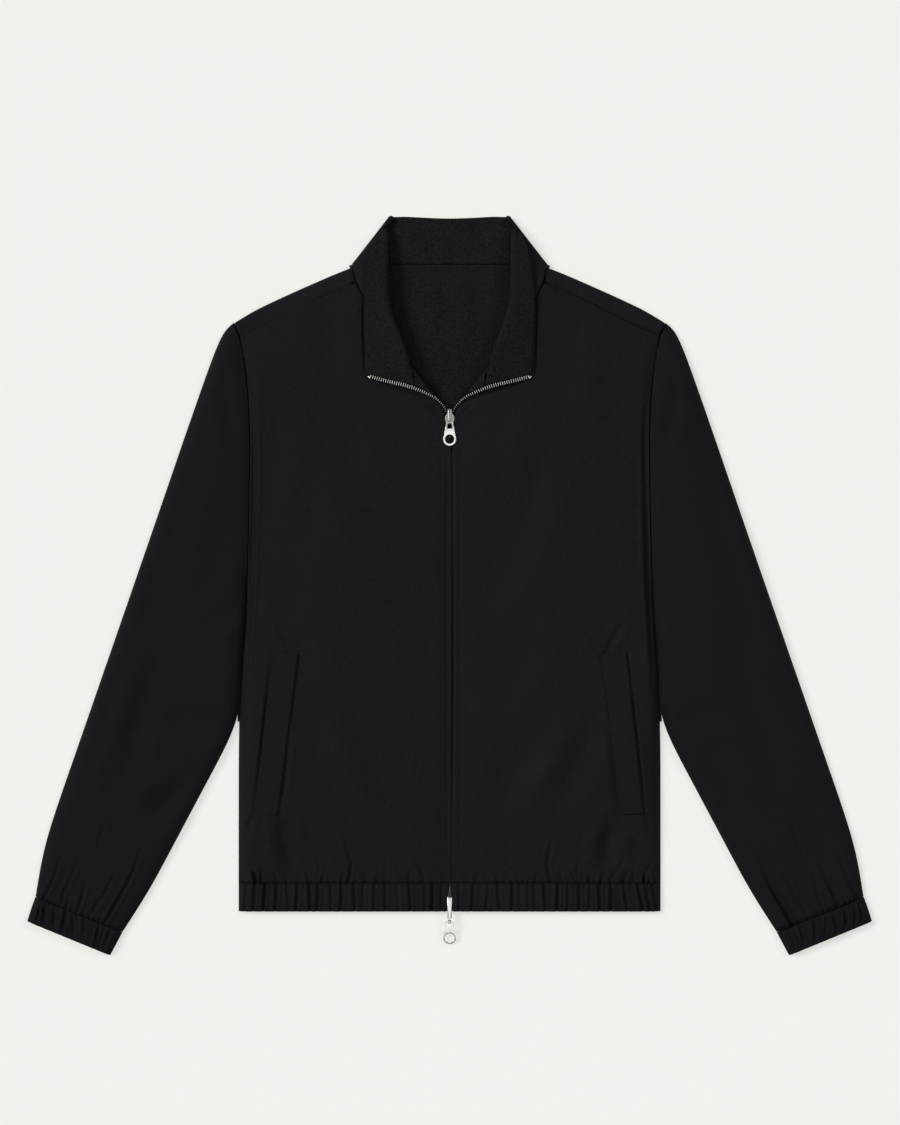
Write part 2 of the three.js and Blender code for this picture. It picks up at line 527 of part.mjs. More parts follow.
/** Joint between the collar's layers, right half: rows are stations, columns run from seam to free edge. */
function collarGrid() {
  const flat = ([x, y]) => [x, y, COLLAR_MID];
  const rows = COLLAR_BACK.map(({ root, roll, free }) =>
    collarLine({ root: flat(root), roll: flat(roll), free: flat(free) }));
  const start = new THREE.Vector3(...COLLAR_FOLD.root, 0);
  const end = new THREE.Vector3(...COLLAR_FOLD.free, 0);
  const along = end.clone().sub(start).normalize();
  const inwards = new THREE.Vector3(-along.y, along.x, 0);
  for (const t of range(4)) {
    const angle = Math.PI * t;
    const back = COLLAR_BEND * (1 - Math.sin(angle));
    const z = COLLAR_MID + COLLAR_BEND * (1 - Math.cos(angle));
    const bent = (s) => start.clone().lerp(end, s).addScaledVector(inwards, back).setZ(z);
    rows.push(range(COLLAR_COLUMNS).map(bent));
  }
  return [...rows, ...COLLAR_FRONT.map(collarLine)];
}

/** The collar's two layers, on either side of its joint. */
function collarLayers() {
  const half = collarGrid();
  const left = half.slice(1).reverse().map((row) => row.map((p) => new THREE.Vector3(-p.x, p.y, p.z)));
  const grid = [...left, ...half];
  const away = gridNormals(grid)[left.length][4].z > 0 ? -1 : 1; // +1 moves towards the shell side
  const layer = (near, far) => wall(offset(grid, away * near), offset(grid, away * far));
  return {
    outer: layer(GAP, GAP + SHELL),
    inner: layer(-GAP, -GAP - LINING),
  };
}

// ---------------------------------------------------------------- turned-out corners and pockets
/** Lining of a front's corner, between the line where it turns out and the open zip edge. */
function turnedLining(side) {
  const turn = curve([...TURN_LINE].reverse());
  const open = curve(OPEN_EDGE.slice(0, 5));
  const grid = range(8).slice(1).map((t) => {
    const s = mix(0.36, 0.955, t);
    const [p, q] = [turn.getPointAt(s), open.getPointAt(s * 0.985)];
    const edge = q.clone().addScaledVector(p.clone().sub(q).normalize(), TURNED_SETBACK);
    const crest = mix(14.2, 19.8, t);
    const level = (a) => crest - mix(1.1, 0, rolled(a, 0.5)) - 0.5 * a;
    return range(4).map((a) => p.clone().lerp(edge, a).setZ(level(a)));
  });
  return wall(place(grid, side), place(inset(grid, LINING), side));
}

/** Height of a faceted grid at (x, y). */
function onGrid(grid, x, y) {
  const triangle = new THREE.Triangle();
  const bary = new THREE.Vector3();
  for (let i = 0; i < grid.length - 1; i++) {
    for (let j = 0; j < grid[0].length - 1; j++) {
      const [a, b, c, d] = [grid[i][j], grid[i][j + 1], grid[i + 1][j + 1], grid[i + 1][j]];
      for (const corners of [[a, b, c], [a, c, d]]) {
        triangle.set(...corners.map((p) => new THREE.Vector3(p.x, p.y, 0)));
        if (triangle.getArea() < 1e-6) continue;
        triangle.getBarycoord(new THREE.Vector3(x, y, 0), bary);
        if (Math.min(bary.x, bary.y, bary.z) < -1e-6) continue;
        return corners[0].z * bary.x + corners[1].z * bary.y + corners[2].z * bary.z;
      }
    }
  }
  throw new Error(`no cloth under ${x}, ${y}`);
}

/** A pocket welt lying on its front, from the front's own points moved out. */
function pocketWelt(side, front) {
  const corner = ([u, y]) => new THREE.Vector3(side * u, y, 0);
  const { upperOuter, upperInner, lowerOuter, lowerInner } = POCKET;
  const grid = range(WELT_ROWS).map((t) => range(2).map((a) => {
    const low = corner(lowerOuter).lerp(corner(lowerInner), a);
    const p = low.lerp(corner(upperOuter).lerp(corner(upperInner), a), t);
    return p.setZ(onGrid(front, p.x, p.y) + WELT_CLEARANCE);
  }));
  const top = grid.map((row) => row.map((p) => p.clone().setZ(p.z + SHELL)));
  return wall(top, grid);
}

// ---------------------------------------------------------------- zip
const ZIP_TOP_LEVEL = 8.2; // middle of the tape at the top slider
const ZIP_HEM_LEVEL = 4.4; // and in the hem band
const zipLevel = (y) => mix(ZIP_HEM_LEVEL, ZIP_TOP_LEVEL, smooth((y - 20) / 200));

const TAPE_TURN = [ // rows over which the tape turns out of the slider: the chain edge and the cloth edge
  { chain: [0.9, 512, 8.2], cloth: [6.6, 512, 8.2] },
  { chain: [2.2, 521, 8.2], cloth: [5.6, 521, 8.2] },
  { chain: [3.6, 529, 8.6], cloth: [5.2, 529, 8] },
  { chain: [5.4, 531.8, 11.4], cloth: [5.8, 532, 9.9] },
  { chain: [9, 534.8, 13.3], cloth: [8.7, 535.6, 12.3] },
];

/** One tape, from the hem to the collar's tip. */
function zipTape(side) {
  const closed = [4, 15, 60, 120, 180, 260, 340, 420, 470, 500].map((y) => ({
    chain: [CENTRE_GAP, y, zipLevel(y)], cloth: [9, y, zipLevel(y)],
  }));
  const open = curve(OPEN_EDGE);
  const turned = range(TAPE_ROWS).slice(1).map((t) => {
    const s = mix(0.06, 0.975, t);
    const p = open.getPointAt(s);
    const along = open.getTangentAt(s);
    const level = mix(mix(13.6, 17.6, smooth(s / 0.42)), 16.4, smooth((s - 0.45) / 0.5));
    return { chain: [p.x, p.y, level - 0.3], cloth: [p.x - along.y * 1.7, p.y + along.x * 1.7, level] };
  });
  const grid = [...closed, ...TAPE_TURN, ...turned].map(({ chain, cloth }) =>
    [new THREE.Vector3(...chain), new THREE.Vector3(...cloth)]);
  return wall(place(offset(grid, TAPE / 2), side), place(offset(grid, -TAPE / 2), side));
}

const BAR = 0.6; // half thickness of a pull tab and of its bar
const BAR_LEVEL = 3.4; // bar over the middle of the tape
const NOSE = { width: 3, bore: 1.25, top: 5.7, radius: 2.6 }; // the boss that holds the bar
const PLATE = { near: 1.2, far: 2.4 }; // faces of a slider's plates, from the middle of the tape
const PULL = { topHalf: 3.7, slotHalf: 2.4, slotEnd: -6.7, ringAt: -17.7, ringOut: 6.9, ringIn: 4.9 };
const PULL_DROP = THREE.MathUtils.degToRad(14); // the lower tab hangs off the hem down to the surface
const SLIDERS = [
  {
    name: 'top', at: [0, 514.2, ZIP_TOP_LEVEL], drop: 0,
    body: [-1.8, 13.6], half: 4.85, strip: NOSE.width, stripEnds: [1.2, 13.2],
  },
  {
    name: 'bottom', at: [0, -10.6, ZIP_HEM_LEVEL], drop: PULL_DROP,
    body: [10.8, 25], half: 2.9, strip: 4.6, stripEnds: [3.2, 25.6],
  },
];

/** A box between two corners. */
function block([x0, y0, z0], [x1, y1, z1]) {
  const geometry = new THREE.BoxGeometry(x1 - x0, y1 - y0, z1 - z0);
  geometry.translate((x0 + x1) / 2, (y0 + y1) / 2, (z0 + z1) / 2);
  return geometry;
}

/** Outline of a slider's plate: a narrow tail, two shoulders and a round crown. */
function plateOutline([tail, crown], half) {
  const outline = new THREE.Shape();
  const shoulder = mix(tail, crown, 0.55);
  outline.moveTo(-half * 0.62, tail);
  outline.lineTo(half * 0.62, tail);
  outline.lineTo(half * 0.7, mix(tail, crown, 0.3));
  outline.quadraticCurveTo(half, shoulder, half * 0.86, mix(tail, crown, 0.78));
  outline.quadraticCurveTo(half * 0.6, crown, 0, crown);
  outline.quadraticCurveTo(-half * 0.6, crown, -half * 0.86, mix(tail, crown, 0.78));
  outline.quadraticCurveTo(-half, shoulder, -half * 0.7, mix(tail, crown, 0.3));
  outline.closePath();
  return outline;
}

/** A slider with its origin at the pull tab's bar axis, at the level of the tape. */
function slider({ body, half, strip, stripEnds }) {
  const crown = body[1];
  const settings = { depth: PLATE.far - PLATE.near, bevelEnabled: false, curveSegments: 5 };
  const plate = (z) => new THREE.ExtrudeGeometry(plateOutline(body, half), settings).translate(0, 0, z);
  const post = block([-0.45, crown - 4, -PLATE.near - 0.2], [0.45, crown - 1, PLATE.near + 0.2]);
  const rib = block([-strip / 2, stripEnds[0], PLATE.far - 0.3], [strip / 2, stripEnds[1], NOSE.top - 0.2]);
  const profile = new THREE.Shape();
  profile.absarc(0, BAR_LEVEL, NOSE.radius, Math.PI / 2, (3 * Math.PI) / 2, false);
  profile.lineTo(stripEnds[0] + 1, BAR_LEVEL - NOSE.radius);
  profile.lineTo(stripEnds[0] + 1, BAR_LEVEL + NOSE.radius);
  profile.closePath();
  const bore = new THREE.Path();
  bore.absarc(0, BAR_LEVEL, NOSE.bore, 0, 2 * Math.PI, true);
  profile.holes.push(bore);
  const nose = new THREE.ExtrudeGeometry(
    profile, { depth: NOSE.width, bevelEnabled: false, curveSegments: 8 });
  // the extrusion runs along X, its outline stands in the plane of Y and Z
  nose.applyMatrix4(new THREE.Matrix4().set(
    0, 0, 1, -NOSE.width / 2,
    1, 0, 0, 0,
    0, 1, 0, 0,
    0, 0, 0, 1));
  return join(plate(PLATE.near), plate(-PLATE.far), post, rib, nose);
}

/** A keyhole pull tab with its origin on the bar's axis, hanging towards -Y. */
function pullTab() {
  const tab = new THREE.Shape();
  const meet = Math.atan2(2.6, PULL.ringOut); // where the shank's sides run into the ring
  tab.moveTo(-PULL.topHalf, BAR);
  tab.lineTo(-PULL.ringOut * Math.cos(meet), PULL.ringAt + PULL.ringOut * Math.sin(meet));
  tab.absarc(0, PULL.ringAt, PULL.ringOut, Math.PI - meet, 2 * Math.PI + meet, false);
  tab.lineTo(PULL.topHalf, BAR);
  tab.closePath();
  const slot = new THREE.Path([
    new THREE.Vector2(-PULL.slotHalf, -BAR), new THREE.Vector2(-PULL.slotHalf, PULL.slotEnd),
    new THREE.Vector2(PULL.slotHalf, PULL.slotEnd), new THREE.Vector2(PULL.slotHalf, -BAR),
  ]);
  const ring = new THREE.Path();
  ring.absarc(0, PULL.ringAt, PULL.ringIn, 0, 2 * Math.PI, false);
  tab.holes.push(slot, ring);
  const geometry = new THREE.ExtrudeGeometry(tab, { depth: 2 * BAR, bevelEnabled: false, curveSegments: 14 });
  return geometry.translate(0, 0, -BAR);
}

// ---------------------------------------------------------------- assembly
const jacket = new THREE.Group();

/** Adds a named piece. */
function add(name, geometry, material, parent = jacket) {
  const mesh = new THREE.Mesh(geometry, material());
  mesh.name = name;
  parent.add(mesh);
  return mesh;
}

add('back', backPanel(), shellCloth);
add('hem_back', hemBack(), shellCloth);
add('lining_back', liningBack(), liningCloth);
for (const [word, side] of [['left', -1], ['right', 1]]) {
  const front = frontGrid(side);
  add(`front_${word}`, wall(front, inset(front, SHELL)), shellCloth);
  const { top, under } = sleeve(side);
  add(`sleeve_${word}`, top, shellCloth);
  add(`sleeve_under_${word}`, under, shellCloth);
  add(`cuff_${word}`, cuff(side), shellCloth);
  add(`hem_front_${word}`, hemFront(side), shellCloth);
  add(`pocket_welt_${word}`, pocketWelt(side, front), shellCloth);
  add(`lining_front_${word}`, turnedLining(side), liningCloth);
  add(`zip_tape_${word}`, zipTape(side), tapeCloth);
  const stop = block([-1.4, -1.8, -1.3], [1.4, 1.8, 1.3]);
  add(`zip_stop_${word}`, stop, silver).position.set(side * 84.3, 561.2, 16.4);
}
const collar = collarLayers();
add('collar_outer', collar.outer, shellCloth);
add('collar_inner', collar.inner, liningCloth);

for (const spec of SLIDERS) {
  const assembly = new THREE.Group();
  assembly.position.set(...spec.at);
  add(`zip_slider_${spec.name}`, slider(spec), silver, assembly);
  const tab = add(`zip_pull_${spec.name}`, pullTab(), silver, assembly);
  tab.position.set(0, 0, BAR_LEVEL);
  tab.rotation.x = spec.drop;
  jacket.add(assembly);
}

// the origin: middle of the outline, on the surface
const bounds = new THREE.Box3().setFromObject(jacket);
const middle = bounds.getCenter(new THREE.Vector3());
jacket.position.set(-middle.x, -middle.y, -bounds.min.z);

export default jacket;
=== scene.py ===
"""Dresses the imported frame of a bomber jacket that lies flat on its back.

Lengths are in millimetres in the garment's own layout (x from the centre line, y up from the hem's
edge, z up from the surface) until they enter a mesh, which is in metres in the frame's axes.
"""
from __future__ import annotations

import json
import logging
import math
from dataclasses import dataclass, replace
from enum import Enum
from typing import Callable, Sequence

import bmesh
import bpy
import numpy as np
from mathutils import Matrix, Vector, noise
from mathutils.bvhtree import BVHTree

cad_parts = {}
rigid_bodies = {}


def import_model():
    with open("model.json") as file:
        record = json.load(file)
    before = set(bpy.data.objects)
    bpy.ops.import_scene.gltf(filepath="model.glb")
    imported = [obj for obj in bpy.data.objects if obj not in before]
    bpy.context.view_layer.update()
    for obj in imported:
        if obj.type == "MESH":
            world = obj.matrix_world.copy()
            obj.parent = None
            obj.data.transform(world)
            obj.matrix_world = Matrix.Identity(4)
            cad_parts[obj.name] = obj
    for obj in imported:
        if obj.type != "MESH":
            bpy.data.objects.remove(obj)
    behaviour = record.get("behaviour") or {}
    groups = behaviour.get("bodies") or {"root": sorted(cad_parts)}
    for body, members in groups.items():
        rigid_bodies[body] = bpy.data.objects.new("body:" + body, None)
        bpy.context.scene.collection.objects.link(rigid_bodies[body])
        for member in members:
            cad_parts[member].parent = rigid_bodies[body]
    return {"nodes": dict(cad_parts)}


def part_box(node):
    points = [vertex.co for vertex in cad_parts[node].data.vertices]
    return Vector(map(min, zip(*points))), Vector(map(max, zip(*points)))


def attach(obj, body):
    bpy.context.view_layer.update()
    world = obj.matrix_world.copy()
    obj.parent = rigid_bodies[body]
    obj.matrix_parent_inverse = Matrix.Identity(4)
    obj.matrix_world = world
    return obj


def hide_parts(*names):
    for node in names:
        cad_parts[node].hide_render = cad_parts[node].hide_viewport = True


LOG = logging.getLogger("jacket")
MM = 0.001
BODY = "jacket"
SIDES = {"left": -1, "right": 1}
Points = Sequence[tuple[float, float]]
Places = Sequence[tuple[float, float, float]]


# ------------------------------------------------------------------ finishes
def linear(code: str) -> tuple[float, float, float, float]:
    """Turns an sRGB hex colour into linear values with full alpha.

    Args:
        code: the colour, as # and six digits.

    Returns:
        Red, green, blue and alpha.
    """
    channels = [int(code[i:i + 2], 16) / 255 for i in (1, 3, 5)]
    bent = [c / 12.92 if c <= 0.04045 else ((c + 0.055) / 1.055) ** 2.4 for c in channels]
    return (bent[0], bent[1], bent[2], 1.0)


def add_node(tree: bpy.types.NodeTree, kind: str, settings: dict | None = None,
             inputs: dict | None = None, links: dict | None = None) -> bpy.types.Node:
    """Adds a shader node.

    Args:
        tree: the material's node tree.
        kind: Blender's node type.
        settings: attributes of the node itself.
        inputs: socket values by name or number.
        links: sockets fed by another node's output, by name or number.

    Returns:
        The new node.
    """
    node = tree.nodes.new(kind)
    for key, value in (settings or {}).items():
        setattr(node, key, value)
    for key, value in (inputs or {}).items():
        node.inputs[key].default_value = value
    for key, output in (links or {}).items():
        tree.links.new(output, node.inputs[key])
    return node


# Blender's wave texture at this scale, divided by a thread's width, draws a band to every two threads.
BAND_SCALE = 1 / 6.2832


@dataclass(frozen=True)
class Grain:
    """How the threads and flecks of a kind of cloth show."""

    fleck: float  # size of its flecks, in threads
    patches: float  # share of its tone that comes from broad, soft patches
    wales: float  # lengthwise bands to each crosswise one
    crossed: bool  # whether its threads show both ways


class Construction(Enum):
    """How a cloth is made, which sets the pattern of its surface."""

    PLAIN_WEAVE = Grain(3.5, 0.3, 1.0, True)
    JERSEY = Grain(1.7, 0.2, 0.8, True)
    TAPE = Grain(3.5, 0.3, 1.0, False)


@dataclass(frozen=True)
class Finish:
    """A material that is built once and then shared by its pieces."""

    name: str

    def material(self) -> bpy.types.Material:
        """Builds the material, or returns the one already built.

        Returns:
            The material, named for its finish.
        """
        known = bpy.data.materials.get(self.name)
        if known:
            return known
        made = bpy.data.materials.new(self.name)
        made.use_nodes = True
        tree = made.node_tree
        tree.nodes.clear()
        shader = self.shade(tree, add_node(tree, "ShaderNodeTexCoord").outputs["Object"])
        add_node(tree, "ShaderNodeOutputMaterial", links={"Surface": shader.outputs[0]})
        return made

    def shade(self, tree: bpy.types.NodeTree, place: bpy.types.NodeSocket) -> bpy.types.Node:
        """Draws the finish; each kind has its own way."""
        raise NotImplementedError


@dataclass(frozen=True)
class ClothFinish(Finish):
    """A matte cloth: two tones of its yarn, its thread spacing and how soft its light is."""

    construction: Construction
    dark: str
    light: str
    thread: float  # mm
    mottle: float  # mm, size of the soft tone patches
    roughness: float
    specular: float
    sheen: float
    bump: float

    def shade(self, tree: bpy.types.NodeTree, place: bpy.types.NodeSocket) -> bpy.types.Node:
        """Draws the yarn's two tones, the relief of its threads and its soft light.

        Args:
            tree: the material's node tree.
            place: the point on the piece.

        Returns:
            The shader.
        """
        grain = self.construction.value
        threads = self._threads(tree, place)
        # the patches are drawn out along the garment
        drawn = add_node(tree, "ShaderNodeVectorMath", {"operation": "MULTIPLY"},
                         {1: (1.0, 0.3, 1.0)}, {0: place})
        patches = add_node(tree, "ShaderNodeTexNoise", inputs={
            "Scale": 1 / (self.mottle * MM), "Detail": 2.0, "Roughness": 0.5}, links={
            "Vector": drawn.outputs[0]})
        flecks = add_node(tree, "ShaderNodeTexNoise", inputs={
            "Scale": 1 / (self.thread * grain.fleck * MM), "Detail": 2.0, "Roughness": 0.7}, links={
            "Vector": place})
        broad = add_node(tree, "ShaderNodeMath", {"operation": "MULTIPLY"}, {1: grain.patches}, {
            0: patches.outputs["Fac"]})
        tone = add_node(tree, "ShaderNodeMath", {"operation": "MULTIPLY_ADD"}, {1: 1 - grain.patches}, {
            0: flecks.outputs["Fac"], 2: broad.outputs[0]})
        ramp = add_node(tree, "ShaderNodeMapRange", inputs={"From Min": 0.36, "From Max": 0.64}, links={
            "Value": tone.outputs[0]})
        colour = add_node(tree, "ShaderNodeMix", {"data_type": "RGBA"}, {
            6: linear(self.dark), 7: linear(self.light)}, {0: ramp.outputs[0]})
        soft = add_node(tree, "ShaderNodeMapRange", inputs={
            "To Min": self.roughness - 0.06, "To Max": self.roughness + 0.06}, links={
            "Value": flecks.outputs["Fac"]})
        relief = add_node(tree, "ShaderNodeMath", {"operation": "MULTIPLY_ADD"}, {1: 0.5}, {
            0: flecks.outputs["Fac"], 2: threads})
        bumped = add_node(tree, "ShaderNodeBump", inputs={
            "Strength": self.bump, "Distance": self.thread * MM * 0.5}, links={
            "Height": relief.outputs[0]})
        return add_node(tree, "ShaderNodeBsdfPrincipled", inputs={
            "Specular IOR Level": self.specular, "Sheen Weight": self.sheen, "Sheen Roughness": 0.6,
            "Sheen Tint": linear(self.light)}, links={
            "Base Color": colour.outputs[2], "Roughness": soft.outputs[0], "Normal": bumped.outputs[0]})

    def _threads(self, tree: bpy.types.NodeTree, place: bpy.types.NodeSocket) -> bpy.types.NodeSocket:
        """Draws the threads: crossed for a weave, wales for a jersey, one way for a tape.

        Args:
            tree: the material's node tree.
            place: the point on the piece.

        Returns:
            The threads' height.
        """
        grain = self.construction.value
        scale = 1 / (self.thread * MM) * BAND_SCALE
        bands = [
            add_node(tree, "ShaderNodeTexWave", {"bands_direction": direction}, {
                "Scale": scale * rate, "Distortion": 1.2, "Detail": 1.0, "Detail Scale": 2.0}, {
                "Vector": place}).outputs["Fac"]
            for direction, rate in (("X", grain.wales), ("Y", 1.0))[:2 if grain.crossed else 1]
        ]
        if not grain.crossed:
            return bands[0]
        joined = add_node(tree, "ShaderNodeMath", {"operation": "MAXIMUM"}, links=dict(enumerate(bands)))
        return joined.outputs[0]


@dataclass(frozen=True)
class MetalFinish(Finish):
    """A plated metal with fine tumbling marks."""

    colour: str
    roughness: float
    grit: float  # mm

    def shade(self, tree: bpy.types.NodeTree, place: bpy.types.NodeSocket) -> bpy.types.Node:
        """Draws the marks that tumbling leaves.

        Args:
            tree: the material's node tree.
            place: the point on the piece.

        Returns:
            The shader.
        """
        marks = add_node(tree, "ShaderNodeTexNoise", inputs={
            "Scale": 1 / (self.grit * MM), "Detail": 3.0}, links={"Vector": place})
        soft = add_node(tree, "ShaderNodeMapRange", inputs={
            "To Min": self.roughness * 0.7, "To Max": self.roughness * 1.3}, links={
            "Value": marks.outputs["Fac"]})
        bumped = add_node(tree, "ShaderNodeBump", inputs={
            "Strength": 0.15, "Distance": 0.02 * MM}, links={"Height": marks.outputs["Fac"]})
        return add_node(tree, "ShaderNodeBsdfPrincipled", inputs={
            "Base Color": linear(self.colour), "Metallic": 1.0}, links={
            "Roughness": soft.outputs[0], "Normal": bumped.outputs[0]})


# The threads of these cloths lie closer than the view can show, some 0.2 to 0.3 mm apart in the shell,
# so every thread width below is drawn as coarse as it needs to be to show.
#
# Microfibre polyester, plain woven and peach finished: dark, dry and even, with a faint violet cast.
SHELL = ClothFinish("shell_microfibre", Construction.PLAIN_WEAVE, "#110D10", "#181218", 0.9, 60.0,
                    0.8, 0.12, 0.06, 0.35)
# The same cloth cut across its grain for the sleeves, which throws back a little less light.
SLEEVE = replace(SHELL, name="sleeve_microfibre", dark="#0E0B0F", light="#130F15")
# The same cloth doubled over elastic: it sits slightly darker between its gathers.
BAND = ClothFinish("band_microfibre", Construction.PLAIN_WEAVE, "#110E11", "#171319", 0.9, 40.0,
                   0.82, 0.12, 0.06, 0.35)
# The cuffs' band, cut like the sleeves.
CUFF = replace(BAND, name="cuff_microfibre", dark="#0C0A0D", light="#110E13")
# Marl jersey of black and charcoal yarns: flecked at the size of its loops, woolly and without gloss.
LINING = ClothFinish("lining_marl_jersey", Construction.JERSEY, "#100E0F", "#1F1D1E", 1.3, 30.0,
                     0.95, 0.08, 0.12, 0.6)
# Woven polyester zip tape, ribbed along its length.
TAPE = ClothFinish("zip_tape_weave", Construction.TAPE, "#0C0B0C", "#121112", 0.8, 20.0,
                   0.85, 0.1, 0.04, 0.4)
# Spun polyester sewing thread, a touch glossier than the cloth.
THREAD = ClothFinish("sewing_thread", Construction.TAPE, "#0D0C0E", "#121013", 0.3, 8.0,
                     0.7, 0.15, 0.0, 0.2)
# Nickel plated zinc, tumbled bright.
NICKEL = MetalFinish("nickel_plate", "#E4E3DF", 0.22, 0.6)
# Teeth of the same metal, a little duller from the slider's running.
TEETH = MetalFinish("tooth_metal", "#DEDDD9", 0.26, 0.4)
# The top slider's cast body, darker than its tab; the bottom one is plated as bright as the tabs.
CAST = MetalFinish("cast_metal", "#A5A4A0", 0.36, 0.5)


# ------------------------------------------------------------------ layout and meshes
class Layout:
    """Places the garment's own millimetres in the frame."""

    def __init__(self) -> None:
        """Reads the hem's edge and the surface from the frame."""
        low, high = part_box("hem_back")
        self.origin = Vector(((low[0] + high[0]) / 2, low[1], low[2]))

    def to_frame(self, x: float, y: float, z: float = 0.0) -> Vector:
        """Returns the frame's point for a point of the layout."""
        return self.origin + Vector((x, y, z)) * MM

    def read(self, mesh: bpy.types.Mesh) -> np.ndarray:
        """Returns a mesh's vertices in the layout's millimetres.

        Args:
            mesh: the mesh.

        Returns:
            One row of x, y and z for each vertex.
        """
        flat = np.empty(len(mesh.vertices) * 3)
        mesh.vertices.foreach_get("co", flat)
        return (flat.reshape(-1, 3) - np.array(self.origin)) / MM

    def write(self, mesh: bpy.types.Mesh, points: np.ndarray) -> None:
        """Stores points given in the layout's millimetres."""
        mesh.vertices.foreach_set("co", (points * MM + np.array(self.origin)).ravel())
        mesh.update()


def deselect() -> None:
    """Leaves nothing selected or active."""
    for item in bpy.context.view_layer.objects:
        item.select_set(False)
    bpy.context.view_layer.objects.active = None


def activate(item: bpy.types.Object) -> None:
    """Selects one object alone and makes it active.

    Args:
        item: the piece.
    """
    deselect()
    item.select_set(True)
    bpy.context.view_layer.objects.active = item


def new_object(name: str, mesh: bpy.types.Mesh) -> bpy.types.Object:
    """Links a new object at the origin.

    Args:
        name: its name.
        mesh: its mesh or curve.

    Returns:
        The object.
    """
    item = bpy.data.objects.new(name, mesh)
    bpy.context.scene.collection.objects.link(item)
    return item


def apply_modifiers(item: bpy.types.Object) -> None:
    """Applies every modifier of an object in order.

    Args:
        item: the piece.
    """
    activate(item)
    for modifier in list(item.modifiers):
        bpy.ops.object.modifier_apply(modifier=modifier.name)


def dress(item: bpy.types.Object, finish: Finish, body: str = BODY) -> None:
    """Gives a piece its finish and the body that it rides on.

    Args:
        item: the piece.
        finish: its material.
        body: the CAD body.
    """
    item.data.materials.clear()
    item.data.materials.append(finish.material())
    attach(item, body)
    LOG.info("%s: %d faces, %s on %s", item.name, len(item.data.polygons), finish.name, body)


@dataclass(frozen=True)
class Cut:
    """The flat cloth that a piece was cut from: its width and length, and its area if not oblong."""

    width: float
    length: float
    area: float


class Garment:
    """The frame's nodes, the layout and the cloth dressed so far."""

    def __init__(self) -> None:
        """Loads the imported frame."""
        self.nodes: dict[str, bpy.types.Object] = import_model()["nodes"]
        self.layout = Layout()
        self.cloth: list[bpy.types.Object] = []

    def smooth_copy(self, node: str, levels: int, crisp: float = 55.0) -> bpy.types.Object:
        """Makes a fine, smooth copy of a cloth solid that keeps its cut edges.

        Args:
            node: the solid's node.
            levels: how many times its faces are divided.
            crisp: edges that bend more than this, in degrees, stay sharp.

        Returns:
            The new piece, shaded smooth, which stands for the node.
        """
        mesh = self.nodes[node].data.copy()
        item = new_object(f"{node}_cloth", mesh)
        shape = bmesh.new()
        shape.from_mesh(mesh)
        bmesh.ops.remove_doubles(shape, verts=shape.verts, dist=0.002 * MM)
        bmesh.ops.join_triangles(shape, faces=shape.faces, angle_face_threshold=math.radians(40),
                                 angle_shape_threshold=math.radians(180))
        creases = shape.edges.layers.float.new("crease_edge")
        for edge in shape.edges:
            if len(edge.link_faces) == 2 and edge.calc_face_angle() > math.radians(crisp):
                edge[creases] = 1.0
        for face in shape.faces:
            face.smooth = True
        shape.to_mesh(mesh)
        shape.free()
        divide = item.modifiers.new("divide", "SUBSURF")
        divide.levels = divide.render_levels = levels
        apply_modifiers(item)
        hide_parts(node)
        return item

    def finish_cloth(self, item: bpy.types.Object, finish: ClothFinish, cut: Cut) -> None:
        """Args:
            item: the cloth.
            finish: its material.
            cut: the flat cloth.
        """
        dress(item, finish)
        self.cloth.append(item)
        surface = sum(face.area for face in item.data.polygons) / 2 / MM ** 2
        LOG.info("%s: %.0f mm2 of cloth, cut area %.0f mm2", item.name, surface, cut.area)

    def top_surface(self) -> Callable[[float, float], float | None]:
        """Returns a function that gives the height of the cloth's top at a place, or None off it.

        Returns:
            The function, which takes a place in mm and gives a height in mm.
        """
        trees = []
        for item in self.cloth:
            shape = bmesh.new()
            shape.from_mesh(item.data)
            trees.append(BVHTree.FromBMesh(shape))
            shape.free()

        def height(x: float, y: float) -> float | None:
            """Drops a ray from above.

            Args:
                x: place across, in mm.
                y: place along, in mm.

            Returns:
                The highest hit's level in mm, or None.
            """
            start = self.layout.to_frame(x, y, 60.0)
            hits = [tree.ray_cast(start, Vector((0, 0, -1)))[0] for tree in trees]
            tops = [(hit.z - self.layout.origin.z) / MM for hit in hits if hit is not None]
            return max(tops) if tops else None

        return height


# ------------------------------------------------------------------ relief of the cloth
def mirrored(line: Points, side: int) -> list[tuple[float, float]]:
    """Returns a line of the right half as it lies on one side."""
    return [(side * x, y) for x, y in line]


